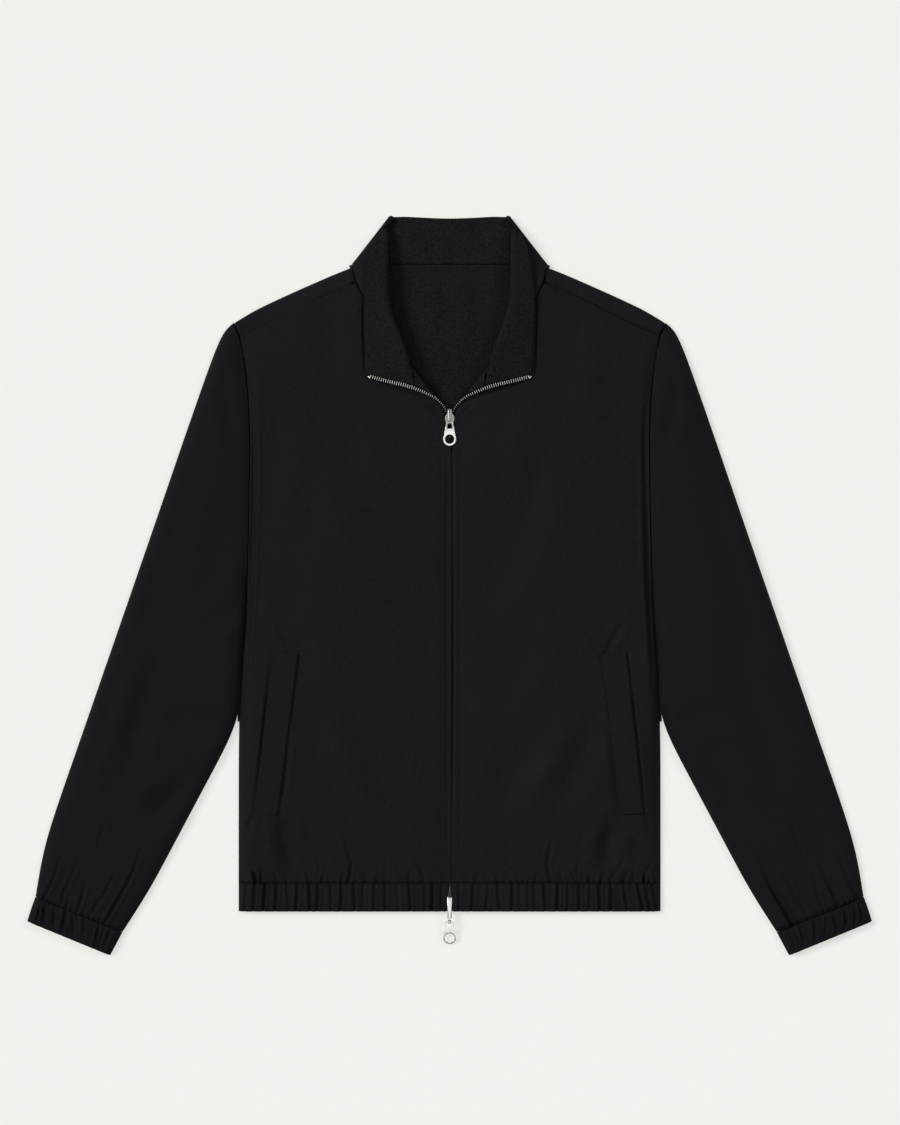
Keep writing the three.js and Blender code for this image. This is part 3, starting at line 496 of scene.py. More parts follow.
@dataclass(frozen=True)
class Crease:
    """A soft trough or ridge along a short line, deepest at its middle and fading at its ends."""

    line: Points
    width: float
    depth: float  # negative for a ridge
    lip: float = 0.45  # height of the cloth pushed up beside a trough, as a share of its depth
    rooted: bool = False  # its last end is held in a seam, and there it is deepest

    def on(self, side: int) -> Crease:
        """Returns a crease of the right half as it lies on one side."""
        return replace(self, line=mirrored(self.line, side))

    def relief(self, x: np.ndarray, y: np.ndarray) -> np.ndarray:
        """Returns the height it adds at each point.

        Args:
            x: the points' places across, in mm.
            y: their places along, in mm.

        Returns:
            Heights in mm.
        """
        reach = 4 * self.width
        xs, ys = zip(*self.line)
        near = ((x > min(xs) - reach) & (x < max(xs) + reach)
                & (y > min(ys) - reach) & (y < max(ys) + reach))
        out = np.zeros_like(x)
        if not near.any():
            return out
        px, py = x[near], y[near]
        lengths = [math.dist(a, b) for a, b in zip(self.line, self.line[1:])]
        total = sum(lengths)
        best = np.full(px.shape, 1e9)
        along = np.zeros(px.shape)
        run = 0.0
        for (ax, ay), (bx, by), size in zip(self.line, self.line[1:], lengths):
            t = np.clip(((px - ax) * (bx - ax) + (py - ay) * (by - ay)) / size ** 2, 0, 1)
            gap = np.hypot(px - ax - t * (bx - ax), py - ay - t * (by - ay))
            closer = gap < best
            best = np.where(closer, gap, best)
            along = np.where(closer, (run + t * size) / total, along)
            run += size
        fade = np.sin(np.pi * np.clip(along, 0.02, 0.98) * (0.55 if self.rooted else 1.0)) ** 0.6
        trough = np.exp(-(best / self.width) ** 2)
        lips = np.exp(-((best - 2.1 * self.width) / (0.9 * self.width)) ** 2)
        out[near] = self.depth * fade * (self.lip * lips - trough)
        return out


@dataclass(frozen=True)
class Pucker:
    """Small gathers across a seam, uneven in pitch and height, that fade away from it."""

    line: Points
    pitch: float
    height: float
    reach: float
    seed: float = 0.0
    alike: bool = False  # whether the two sides gather alike

    def on(self, side: int) -> Pucker:
        """Returns gathers of the right half as they lie on one side."""
        return replace(self, line=mirrored(self.line, side), seed=self.seed * (1 if self.alike else side))

    def relief(self, x: np.ndarray, y: np.ndarray) -> np.ndarray:
        """Returns the height it adds at each point.

        Args:
            x: the points' places across, in mm.
            y: their places along, in mm.

        Returns:
            Heights in mm.
        """
        out = np.zeros_like(x)
        run = 0.0
        for (ax, ay), (bx, by) in zip(self.line, self.line[1:]):
            size = math.dist((ax, ay), (bx, by))
            t = ((x - ax) * (bx - ax) + (y - ay) * (by - ay)) / size ** 2
            inside = (t >= 0) & (t < 1)
            gap = np.abs((x - ax) * (by - ay) - (y - ay) * (bx - ax)) / size
            s = run + t * size
            drift = 0.9 * self._sway(s, 2.7, 1) + 0.5 * self._sway(s, 1.3, 2)
            strength = 0.45 + 0.5 * self._sway(s, 1.9, 1.7) + 0.45 * self._sway(s, 0.83, 4.1)
            reach = self.reach * (0.6 + 0.4 * self._sway(s, 2.2, 3.1))
            wave = np.cos(2 * np.pi * s / self.pitch + drift)
            wave = wave * np.clip(strength, 0.05, 1.3) * np.exp(-gap / reach)
            out = np.where(inside & (gap < 5 * self.reach), out + self.height * wave, out)
            run += size
        return out

    def _sway(self, s: np.ndarray, pitches: float, turn: float) -> np.ndarray:
        """Returns a slow swing along the seam: its length in gathers, and its turn with the seed."""
        return np.sin(s / (pitches * self.pitch) + turn * self.seed)


@dataclass(frozen=True)
class Ripple:
    """Broad, shallow unevenness of cloth that isn't pressed."""

    size: float
    height: float
    seed: float
    stretch: float = 1.0  # how much longer it runs along y than across

    def on(self, side: int) -> Ripple:
        """Returns the unevenness of one side, which differs from the other's."""
        return replace(self, seed=self.seed * side)

    def relief(self, x: np.ndarray, y: np.ndarray) -> np.ndarray:
        """Returns the height it adds at each point.

        Args:
            x: the points' places across, in mm.
            y: their places along, in mm.

        Returns:
            Heights in mm.
        """
        size = self.size
        return self.height * np.array([
            noise.noise(Vector((a / size, b / (size * self.stretch), self.seed)))
            for a, b in zip(x, y)])


Relief = Crease | Pucker | Ripple


def shape_cloth(item: bpy.types.Object, layout: Layout, reliefs: Sequence[Relief],
                weight: Callable[[np.ndarray], np.ndarray] | None = None) -> None:
    """Moves a cloth up and down by its reliefs, both faces of the wall together.

    Args:
        item: the cloth.
        layout: the garment's layout.
        reliefs: what shapes it.
        weight: share of the movement that each point takes, from its place; all of it when missing.
    """
    points = layout.read(item.data)
    lift = sum((r.relief(points[:, 0], points[:, 1]) for r in reliefs), np.zeros(len(points)))
    if weight is not None:
        lift = lift * weight(points)
    points[:, 2] += lift
    layout.write(item.data, points)


def ramp(value: np.ndarray, low: float, high: float) -> np.ndarray:
    """Rises smoothly from 0 at `low` to 1 at `high`."""
    t = np.clip((value - low) / (high - low), 0, 1)
    return t * t * (3 - 2 * t)


# ------------------------------------------------------------------ modelling helpers
def add_box(low: Sequence[float], high: Sequence[float], name: str) -> bpy.types.Object:
    """Adds a cube primitive between two corners given in mm about the world's origin.

    Args:
        low: its lowest corner.
        high: its highest corner.
        name: its name.

    Returns:
        The box.
    """
    deselect()
    centre = [(a + b) / 2 * MM for a, b in zip(low, high)]
    bpy.ops.mesh.primitive_cube_add(size=1, location=centre)
    item = bpy.context.active_object
    item.name = name
    item.scale = [(b - a) * MM for a, b in zip(low, high)]
    bpy.ops.object.transform_apply(location=True, rotation=True, scale=True)
    return item


def add_rod(centre: Sequence[float], radius: float, depth: float, axis: str, name: str,
            sides: int = 40) -> bpy.types.Object:
    """Adds a cylinder primitive about a centre in mm, lying along X or Z.

    Args:
        centre: its middle.
        radius: mm.
        depth: its length in mm.
        axis: X or Z.
        name: its name.
        sides: how many flats its round has.

    Returns:
        The rod.
    """
    deselect()
    turn = (0.0, math.pi / 2, 0.0) if axis == "X" else (0.0, 0.0, 0.0)
    bpy.ops.mesh.primitive_cylinder_add(vertices=sides, radius=radius * MM, depth=depth * MM,
                                        location=[c * MM for c in centre], rotation=turn)
    item = bpy.context.active_object
    item.name = name
    bpy.ops.object.transform_apply(location=True, rotation=True, scale=True)
    return item


def select_where(item: bpy.types.Object, test: Callable[[Vector], bool]) -> None:
    """Opens a piece in edit mode with only the vertices that pass a test, in mm, selected.

    Args:
        item: the piece.
        test: says from a vertex's place in mm whether it is selected.
    """
    activate(item)
    bpy.ops.object.mode_set(mode="EDIT")
    bpy.ops.mesh.select_all(action="DESELECT")
    bpy.ops.object.mode_set(mode="OBJECT")
    for vertex in item.data.vertices:
        vertex.select = test(vertex.co / MM)
    for edge in item.data.edges:
        edge.select = all(item.data.vertices[i].select for i in edge.vertices)
    for face in item.data.polygons:
        face.select = all(item.data.vertices[i].select for i in face.vertices)
    bpy.ops.object.mode_set(mode="EDIT")


def reshape(item: bpy.types.Object, test: Callable[[Vector], bool],
            resize: Sequence[float] | None = None, move: Sequence[float] | None = None) -> None:
    """Resizes, then moves, the vertices of a piece that pass a test.

    Args:
        item: the piece.
        test: says from a vertex's place in mm whether it takes part.
        resize: scale along each axis, about the middle of what takes part.
        move: mm along each axis.
    """
    select_where(item, test)
    if resize:
        bpy.ops.transform.resize(value=resize)
    if move:
        bpy.ops.transform.translate(value=[step * MM for step in move])
    bpy.ops.object.mode_set(mode="OBJECT")


def subdivide(item: bpy.types.Object, cuts: int) -> None:
    """Cuts every edge of a piece.

    Args:
        item: the piece.
        cuts: how many new points each edge gets.
    """
    activate(item)
    bpy.ops.object.mode_set(mode="EDIT")
    bpy.ops.mesh.select_all(action="SELECT")
    bpy.ops.mesh.subdivide(number_cuts=cuts)
    bpy.ops.object.mode_set(mode="OBJECT")


def combine(base: bpy.types.Object, tool: bpy.types.Object, how: str) -> None:
    """Joins or cuts a piece with another, which is used up.

    Args:
        base: the piece that stays.
        tool: the piece that is used up.
        how: UNION or DIFFERENCE.
    """
    step = base.modifiers.new("combine", "BOOLEAN")
    step.operation = how
    step.object = tool
    step.solver = "EXACT"
    apply_modifiers(base)
    bpy.data.objects.remove(tool)


def soften(item: bpy.types.Object, width: float, segments: int = 2, angle: float = 32.0) -> None:
    """Rounds a piece's edges and shades it smooth between them.

    Args:
        item: the piece.
        width: of the rounding, in mm.
        segments: steps of the rounding.
        angle: edges that bend less than this, in degrees, stay as they are.
    """
    step = item.modifiers.new("soften", "BEVEL")
    step.width = width * MM
    step.segments = segments
    step.limit_method = "ANGLE"
    step.angle_limit = math.radians(angle)
    apply_modifiers(item)
    activate(item)
    bpy.ops.object.shade_smooth_by_angle(angle=math.radians(40))


def copies(template: bpy.types.Object, places: Sequence[Matrix], name: str) -> bpy.types.Object:
    """Makes one piece of many copies of a template, which is used up.

    Args:
        template: the piece to copy.
        places: where each copy goes.
        name: the new piece's name.

    Returns:
        The new piece.
    """
    whole = bmesh.new()
    for place in places:
        mesh = template.data.copy()
        mesh.transform(place)
        whole.from_mesh(mesh)
        bpy.data.meshes.remove(mesh)
    mesh = bpy.data.meshes.new(name)
    whole.to_mesh(mesh)
    whole.free()
    bpy.data.objects.remove(template)
    return new_object(name, mesh)


def along(line: Points, pitch: float, start: float = 0.0) -> list[tuple[float, float, float]]:
    """Steps along a line.

    Args:
        line: its points in mm.
        pitch: distance between steps.
        start: distance of the first step.

    Returns:
        The x, y and direction in radians of each step.
    """
    steps = []
    run = start
    for (ax, ay), (bx, by) in zip(line, line[1:]):
        size = math.dist((ax, ay), (bx, by))
        turn = math.atan2(by - ay, bx - ax)
        while run < size:
            steps.append((ax + (bx - ax) * run / size, ay + (by - ay) * run / size, turn))
            run += pitch
        run -= size
    return steps


# ------------------------------------------------------------------ body
HEM_SEAM_Y = 30.0  # where the hem's bands are sewn to the fronts
HEM_SEAM: Points = ((2, HEM_SEAM_Y), (219, HEM_SEAM_Y))


@dataclass
class FrontPanels:
    """The two fronts: loose over the chest, gathered into the hem and creased above it."""

    turn: float = 2.0  # where the closed edges meet, right of the zip's middle
    open_half: float = 0.55  # from the zip's middle to each edge as cut
    lap_reach: tuple[float, float] = (0.5, 12.0)  # how far from the zip the lapping fades out
    lap_foot: tuple[float, float] = (22.0, 38.0)  # where the closed edges come together above the hem
    lap_head: tuple[float, float] = (499.0, 512.0)  # and where they part below the top slider
    sewn: tuple[float, float] = (2.5, 7.5)  # levels between which the cloth comes free of its side seam
    calm: tuple[float, float] = (12.0, 44.0)  # distances from the zip between which it comes free of it
    cut: Cut = Cut(228, 640, 127500)
    left_creases: tuple[Crease, ...] = (
        Crease(((-216.3, 60), (-210, 47), (-203.6, 34)), 1.5, 1.9, 0.5, True),
        Crease(((-188, 57), (-177, 43), (-165.5, 31)), 1.6, 2.1, 0.5, True),
        Crease(((-178, 98), (-172, 70), (-164, 46)), 8.0, 4.3, 0.6),
        Crease(((-111, 78), (-102.3, 52), (-106.4, 31)), 1.7, 2.6, 0.5, True),
        Crease(((-38, 58), (-31, 44), (-25.4, 31)), 1.5, 1.7, 0.5, True),
        Crease(((-16.5, 70), (-14.5, 48), (-16, 31)), 1.3, 1.3, 0.5, True),
        Crease(((-140, 62), (-136, 46), (-139, 33)), 1.4, 1.0, 0.5, True),
        Crease(((-70, 54), (-66, 42), (-69, 32)), 1.4, 0.9, 0.5, True),
    )
    right_creases: tuple[Crease, ...] = (
        Crease(((17.2, 72), (15.5, 52), (18.1, 33)), 1.3, 1.5, 0.5, True),
        Crease(((108.6, 78), (102, 50), (106.5, 31)), 1.7, 2.4, 0.5, True),
        Crease(((184, 54), (176, 44), (168.2, 32)), 1.6, 2.1, 0.5, True),
        Crease(((172, 92), (166, 70), (168.2, 50)), 8.0, 4.1, 0.6),
        Crease(((213, 54), (209, 44), (204.1, 33)), 1.4, 1.5, 0.5, True),
        Crease(((62, 60), (58, 46), (61, 32)), 1.4, 1.0, 0.5, True),
        Crease(((139, 58), (133, 45), (136, 32)), 1.4, 1.0, 0.5, True),
    )

    # cloth pulled beyond the pocket's ends, then the long soft folds of the belly and chest
    drags: tuple[Crease, ...] = (
        Crease(((164, 268), (171, 284), (182, 302)), 3.2, 1.5),
        Crease(((203, 106), (208, 97), (212, 84)), 2.7, 1.8),
        Crease(((150, 214), (136, 160), (108, 104)), 13.0, 2.6, 0.7),
        Crease(((112, 222), (84, 168), (44, 118)), 15.0, 2.2, 0.7),
        Crease(((122, 526), (76, 428), (36, 322)), 18.0, 3.0, 0.7),
        Crease(((60, 500), (44, 440), (26, 372)), 13.0, 1.9, 0.7),
        Crease(((172, 560), (190, 470), (196, 390)), 14.0, 2.1, 0.7),
        Crease(((128, 640), (122, 580), (104, 528)), 15.0, 1.9, 0.7),
    )
    # short gathers that fan out of the hem's seam: foot, tip, height of the tip and depth
    gathers: tuple[tuple[float, float, float, float], ...] = (
        (27, 31.5, 45, 1.7), (48, 43.5, 43, 1.8), (58, 61, 41, 1.1), (75, 71.5, 42, 1.6),
        (88, 91, 40, 1.2), (116, 113.5, 40, 2.0), (134, 129.5, 42, 1.9), (147, 150, 40, 1.4),
        (156, 161, 42, 1.6), (181, 187, 43, 2.0), (197, 194.5, 42, 1.8), (204, 206, 45, 2.0),
    )
    gather_width: float = 1.35
    gather_pull: float = 1.3  # share of its listed depth that a gather is pulled to
    gather_drift: float = 2.4  # how far the two fronts' gathers differ
    # troughs beside the pocket's welt and along the armhole
    troughs: tuple[Crease, ...] = (
        Crease(((186.8, 272), (205.4, 102)), 1.6, 2.6, 0.3),
        Crease(((168, 190), (178.6, 98)), 3.0, 1.8, 0.3),
        Crease(((214.5, 232), (211, 300), (208, 350), (206, 425), (205, 499), (207, 545)), 2.4, 2.6, 0.55),
    )
    # at the hem, fine and broad, then at the armhole and the shoulder
    puckers: tuple[Pucker, ...] = (
        Pucker(HEM_SEAM, 6.4, 1.5, 4.0, 1.4),
        Pucker(HEM_SEAM, 11.6, 1.2, 9.0, 0.4),
        Pucker(((212, 350), (209.5, 499), (218, 600)), 14.0, 0.4, 8.0, 2.1, alike=True),
        Pucker(((216, 602), (152.7, 632), (104, 655)), 9.0, 0.35, 6.0, 0.9, alike=True),
    )
    ripples: tuple[Ripple, ...] = (Ripple(46, 1.7, 3.1, 4.0), Ripple(24, 0.4, 7.7, 1.8))
    # along the stitches by the zip, then along the lower and the outer edge of the turned-out corner
    edges: tuple[Crease, ...] = (
        Crease(((10, 34), (10, 260), (10, 522)), 1.1, 1.1, 0.3),
        Crease(((15, 535), (28, 541.8), (48, 549), (72, 555.2), (86, 558)), 2.6, 3.2, 0.1),
        Crease(((89.6, 655), (90, 610), (88.8, 560)), 1.5, 2.4, 0.1),
    )
    left_lap: tuple[Crease, ...] = (
        Crease(((-4.3, 34), (-4.3, 260), (-4.3, 500)), 2.0, 1.5, 0.4),
        Crease(((-28, 537), (-19, 528), (-10, 520)), 1.6, 2.6),
    )
    right_lap: tuple[Crease, ...] = (
        Crease(((2.4, 30), (2.4, 260), (2.4, 505)), 1.4, 1.2, 0.2),
        Crease(((28, 537), (19, 528), (9, 519)), 1.6, 1.3),
    )

    def reliefs(self, side: int) -> list[Relief]:
        """Returns what shapes one front.

        Args:
            side: -1 for the left, 1 for the right.

        Returns:
            Its creases, folds, gathers and unevenness.
        """
        return [
            *(self.left_creases if side < 0 else self.right_creases),
            *(drag.on(side) for drag in self.drags),
            *self._fans(side),
            *(trough.on(side) for trough in self.troughs),
            *(pucker.on(side) for pucker in self.puckers),
            *(replace(ripple, seed=ripple.seed + side) for ripple in self.ripples),
        ]

    def _fans(self, side: int) -> list[Crease]:
        """Returns the short gathers above the hem's seam.

        Args:
            side: -1 for the left, 1 for the right.

        Returns:
            One crease for each gather, which drifts a little from its twin on the other front.
        """
        fans = []
        for k, (foot, tip, top, depth) in enumerate(self.gathers):
            drift = self.gather_drift * side * math.sin(1.7 * k)
            line = ((side * (tip + drift), top + drift), (side * (foot + drift), HEM_SEAM_Y + 0.5))
            fans.append(Crease(line, self.gather_width, self.gather_pull * depth, 0.5, True))
        return fans

    def placket(self, side: int) -> list[Relief]:
        """Returns what shapes the cloth beside the zip and under the turned-out collar."""
        return [*(edge.on(side) for edge in self.edges), *(self.left_lap if side < 0 else self.right_lap)]

    def build(self, garment: Garment) -> None:
        """Builds both fronts.

        Args:
            garment: the garment that it belongs to.
        """
        for name, side in SIDES.items():
            item = garment.smooth_copy(f"front_{name}", 3)
            shape_cloth(item, garment.layout, self.reliefs(side), weight=self._free)
            shape_cloth(item, garment.layout, self.placket(side), weight=lambda p: ramp(p[:, 2], *self.sewn))
            self._lap(item, garment.layout, side)
            garment.finish_cloth(item, SHELL, self.cut)

    def _free(self, points: np.ndarray) -> np.ndarray:
        """Keeps the sewn side edge in place and the cloth by the zip calm."""
        return ramp(points[:, 2], *self.sewn) * (0.3 + 0.7 * ramp(np.abs(points[:, 0]), *self.calm))

    def _lap(self, item: bpy.types.Object, layout: Layout, side: int) -> None:
        """Brings the closed edges together, a little to the right of the teeth.

        Args:
            item: one front.
            layout: the garment's layout.
            side: -1 for the left, 1 for the right.
        """
        points = layout.read(item.data)
        near = 1 - ramp(np.abs(points[:, 0]), *self.lap_reach)
        closed = (1 - ramp(points[:, 1], *self.lap_head)) * ramp(points[:, 1], *self.lap_foot)
        points[:, 0] += (self.turn - side * self.open_half) * near * closed
        layout.write(item.data, points)


@dataclass
class BackPanel:
    """The back that lies on the surface and laps over the shoulders, with its hem and its lining."""

    ripple: Ripple = Ripple(60, 0.5, 1.7)
    free: tuple[float, float] = (6.0, 11.0)  # levels between which it lies free, over the shoulders
    back_cut: Cut = Cut(444, 712, 281000)
    hem_cut: Cut = Cut(444, 31, 13700)
    lining_cut: Cut = Cut(300, 130, 32700)

    def build(self, garment: Garment) -> None:
        """Builds the three pieces.

        Args:
            garment: the garment that it belongs to.
        """
        back = garment.smooth_copy("back", 2)
        shape_cloth(back, garment.layout, [self.ripple], weight=lambda p: ramp(p[:, 2], *self.free))
        garment.finish_cloth(back, SHELL, self.back_cut)
        hem = garment.smooth_copy("hem_back", 3)
        garment.finish_cloth(hem, BAND, self.hem_cut)
        lining = garment.smooth_copy("lining_back", 4)
        garment.finish_cloth(lining, LINING, self.lining_cut)


class Strength(Enum):
    """How deep a gather is pulled, in mm."""

    FAINT = 0.9
    SOFT = 1.6
    FULL = 2.3
    DEEP = 3.0


@dataclass
class HemBand:
    """The elasticated band of each front, gathered in uneven slanted folds.

    Each fold is given by its places at the seam and at the edge, and its strength.
    """

    cut: Cut = Cut(236, 31, 7100)
    free: tuple[float, float] = (3.0, 6.5)  # levels between which it comes free of its side seam
    width: float = 1.5  # of a fold
    close: float = 1.5  # how far the end by the zip is drawn in
    close_reach: tuple[float, float] = (1.5, 12.0)  # how far from the zip that fades out
    close_foot: tuple[float, float] = (13.5, 18.0)  # where it starts, above the slider
    puckers: Pucker = Pucker(((3, 15), (219, 15)), 5.3, 0.16, 10.0, 1.9)
    ripple: Ripple = Ripple(16, 0.3, 5.2, 1.8)
    left: tuple[tuple[float, float, Strength], ...] = (
        (8, 9, Strength.SOFT), (18, 18.5, Strength.DEEP), (25, 26, Strength.SOFT), (43, 40, Strength.FULL),
        (56, 52, Strength.FAINT), (68, 66, Strength.SOFT), (78, 80, Strength.SOFT), (90, 92, Strength.FAINT),
        (101, 99, Strength.FULL), (113, 115, Strength.FULL), (125, 124, Strength.SOFT),
        (137, 140, Strength.FULL), (148, 146, Strength.DEEP), (159, 162, Strength.FULL),
        (171, 168, Strength.SOFT), (181, 184, Strength.FULL), (193, 197, Strength.DEEP),
        (204, 207, Strength.FULL), (213, 216, Strength.SOFT),
    )
    right: tuple[tuple[float, float, Strength], ...] = (
        (10.5, 10, Strength.SOFT), (26, 22, Strength.FULL), (42, 37, Strength.SOFT), (50, 54, Strength.SOFT),
        (66.5, 65, Strength.FULL), (74, 74, Strength.FAINT), (82, 84, Strength.SOFT),
        (89, 90, Strength.FAINT),
        (98.5, 102.5, Strength.FULL), (114.5, 112, Strength.DEEP), (125, 124, Strength.SOFT),
        (136, 136.5, Strength.FULL), (148.5, 146, Strength.SOFT), (156.5, 159, Strength.FULL),
        (170, 169, Strength.FULL), (182, 189, Strength.FULL), (196, 206, Strength.DEEP),
        (205, 213, Strength.FULL), (212, 219, Strength.SOFT),
    )

    def build(self, garment: Garment) -> None:
        """Builds both bands.

        Args:
            garment: the garment that it belongs to.
        """
        for name, side in SIDES.items():
            item = garment.smooth_copy(f"hem_front_{name}", 2)
            folds = self.left if side < 0 else self.right
            reliefs: list[Relief] = [
                Crease(((side * top, 40), (side * (0.6 * top + 0.4 * low), 16), (side * low, -10)),
                       self.width, strength.value, 0.5)
                for top, low, strength in folds
            ]
            reliefs += [self.puckers.on(side), self.ripple.on(side)]
            shape_cloth(item, garment.layout, reliefs, weight=lambda p: ramp(p[:, 2], *self.free))
            self._close(item, garment.layout, side)
            garment.finish_cloth(item, BAND, self.cut)

    def _close(self, item: bpy.types.Object, layout: Layout, side: int) -> None:
        """Draws the band's end up to the teeth, above the slider.

        Args:
            item: one band.
            layout: the garment's layout.
            side: -1 for the left, 1 for the right.
        """
        points = layout.read(item.data)
        near = 1 - ramp(np.abs(points[:, 0]), *self.close_reach)
        points[:, 0] -= side * self.close * near * ramp(points[:, 1], *self.close_foot)
        layout.write(item.data, points)


# ------------------------------------------------------------------ sleeves
CUFF_SEAM: Points = ((344, -22), (436, 16))


@dataclass
class Sleeve:
    """One sleeve: a creased top piece sewn to a plain under piece, and a gathered cuff."""

    side: str
    top_cut: Cut = Cut(150, 650, 71000)
    under_cut: Cut = Cut(150, 650, 68500)
    cuff_cut: Cut = Cut(205, 28, 5600)
    free: tuple[float, float] = (4.0, 8.5)  # levels between which the top comes free of its seams
    cuff_free: tuple[float, float] = (4.0, 7.0)
    slip: float = 3.0  # the two sleeves crease alike but not the same
    # above the cuff, fine and broad, then along the armhole
    puckers: tuple[Pucker, ...] = (
        Pucker(CUFF_SEAM, 6.2, 1.5, 3.6, 1.1),
        Pucker(CUFF_SEAM, 10.5, 0.6, 10.0, 1.1),
        Pucker(((213, 352), (210.5, 499), (224, 612)), 12.0, 0.3, 7.0, 0.7),
    )
    ripples: tuple[Ripple, ...] = (Ripple(58, 1.0, 9.3, 1.8), Ripple(20, 0.25, 2.3, 1.3))
    cuff_puckers: Pucker = Pucker(((352, -38), (441, -2)), 5.0, 0.16, 10.0, 0.3)
    cuff_ripple: Ripple = Ripple(13, 0.3, 4.4, 1.5)
    creases: tuple[Crease, ...] = (
        Crease(((325.7, 62.5), (330, 44.2), (338.8, 25.9), (348.3, 9.3), (360.5, -12)), 1.7, 3.2, 0.5, True),
        Crease(((351, 42), (361.4, 19), (371.9, 6.7), (375, 0)), 1.9, 2.0, 0.5, True),
        Crease(((383.2, 33), (385.8, 19), (391, 4)), 1.6, 2.2, 0.5, True),
        Crease(((387.5, 55.5), (396.3, 36.3), (401.5, 24.1), (405.9, 17), (407.6, 5)), 1.5, 2.3, 0.5, True),
        Crease(((399.5, 24), (402.4, 17), (401.5, 6)), 1.2, 1.6, 0.5, True),
        Crease(((409.3, 59), (415.4, 37), (420.6, 27.6), (426.7, 17)), 1.6, 1.6, 0.5, True),
        Crease(((359.7, 94), (366.6, 76), (371, 62)), 1.8, 1.0),
        Crease(((262, 150), (300, 110), (330, 96)), 12.0, 2.2, 0.6),
        Crease(((232, 188), (262, 202), (296, 205)), 11.0, 1.6, 0.6),
        Crease(((216, 330), (236, 306), (262, 296)), 9.0, 1.2, 0.6),
        Crease(((262, 540), (290, 400), (322, 280)), 13.0, 1.8, 0.6),
        Crease(((300, 300), (330, 190), (352, 100)), 13.0, 1.8, 0.6),
        Crease(((216, 470), (234, 520), (238, 572)), 7.0, 1.4, 0.5),
        Crease(((330, 300), (352, 232), (372, 166)), 10.0, 1.4, 0.6),
    )
    cuff_folds: tuple[Points, ...] = (
        ((429.4, 10.2), (432, -0.3), (433.7, -12)), ((425.2, 8.4), (426.6, -3.7), (425.2, -15)),
        ((415.4, 4), (416.3, -10), (414.5, -21)), ((403.2, 1.5), (405.8, -12.5), (407.6, -24)),
        ((396.3, -0.3), (395.9, -14.2), (393.6, -30)), ((383.2, -5), (384.1, -19.4), (384.1, -34)),
        ((367.5, -12), (371, -26.4), (373.3, -39)), ((355, -17), (360.5, -29.9), (364, -41)),
        ((347.6, -22), (351.9, -33.4), (357, -44)),
    )

    def build(self, garment: Garment) -> None:
        """Builds the two pieces of the sleeve and its cuff.

        Args:
            garment: the garment that it belongs to.
        """
        side = SIDES[self.side]
        reliefs = [*self._creases(side), *(pucker.on(side) for pucker in self.puckers),
                   *(ripple.on(side) for ripple in self.ripples)]
        top = garment.smooth_copy(f"sleeve_{self.side}", 3)
        shape_cloth(top, garment.layout, reliefs, weight=lambda p: ramp(p[:, 2], *self.free))
        garment.finish_cloth(top, SLEEVE, self.top_cut)
        under = garment.smooth_copy(f"sleeve_under_{self.side}", 2)
        garment.finish_cloth(under, SLEEVE, self.under_cut)
        cuff = garment.smooth_copy(f"cuff_{self.side}", 2)
        gathers = [*self._cuff_gathers(side), self.cuff_puckers.on(side), self.cuff_ripple.on(side)]
        shape_cloth(cuff, garment.layout, gathers, weight=lambda p: ramp(p[:, 2], *self.cuff_free))
        garment.finish_cloth(cuff, CUFF, self.cuff_cut)

    def _creases(self, side: int) -> list[Crease]:
        """Returns the creases of one sleeve.

        Args:
            side: -1 for the left, 1 for the right.

        Returns:
            The listed creases, each slipped, widened and deepened a little differently on each side.
        """
        made = []
        for k, crease in enumerate(self.creases):
            uneven = k % 3 - 1
            line = [(side * x, y + self.slip * side * uneven) for x, y in crease.line]
            made.append(replace(crease, line=line, width=crease.width * (1 + 0.08 * side * (k % 2)),
                                depth=crease.depth * (1 - 0.12 * side * uneven)))
        return made

    def _cuff_gathers(self, side: int) -> list[Crease]:
        """Returns the folds of one cuff, two widths and three depths in turn."""
        return [Crease(mirrored(fold, side), 1.3 + 0.3 * (k % 2), 2.2 - 0.35 * ((k + (side > 0)) % 3), 0.5)
                for k, fold in enumerate(self.cuff_folds)]


# ------------------------------------------------------------------ collar, linings and pockets
@dataclass
class Collar:
    """The folded collar: a shell layer below and a lining layer on top."""

    cut: Cut = Cut(430, 75, 25200)
    corner_cut: Cut = Cut(10, 80, 260)
    top: float = 731.2  # the corners of its free edge
    crisp: float = 62.0  # its edges that bend less than this, in degrees, are rounded

    def build(self, garment: Garment) -> None:
        """Builds the collar's two layers and the lining of the turned-out corners.

        Args:
            garment: the garment that it belongs to.
        """
        outer = garment.smooth_copy("collar_outer", 2, self.crisp)
        points = garment.layout.read(outer.data)
        points[:, 1] = np.minimum(points[:, 1], self.top)
        garment.layout.write(outer.data, points)
        garment.finish_cloth(outer, SHELL, self.cut)
        inner = garment.smooth_copy("collar_inner", 2, self.crisp)
        garment.finish_cloth(inner, LINING, self.cut)
        for name in SIDES:
            corner = garment.smooth_copy(f"lining_front_{name}", 2)
            garment.finish_cloth(corner, LINING, self.corner_cut)


@dataclass
class PocketWelts:
    """The slanted welt of each pocket, a doubled strip with its opening edge outwards."""

    cut: Cut = Cut(26, 171, 4350)
    ripple: Ripple = Ripple(26, 0.25, 3.3, 2.0)

    def build(self, garment: Garment) -> None:
        """Builds both welts.

        Args:
            garment: the garment that it belongs to.
        """
        for name, side in SIDES.items():
            item = garment.smooth_copy(f"pocket_welt_{name}", 3)
            shape_cloth(item, garment.layout, [self.ripple.on(side)])
            garment.finish_cloth(item, SHELL, self.cut)


# ------------------------------------------------------------------ zip
ZIP_TOP_LEVEL = 8.2  # middle of the tape at the top slider, mm
ZIP_HEM_LEVEL = 4.4
ZIP_RISE = (20.0, 200.0)  # where the closed tape starts to climb, and over how much of its length


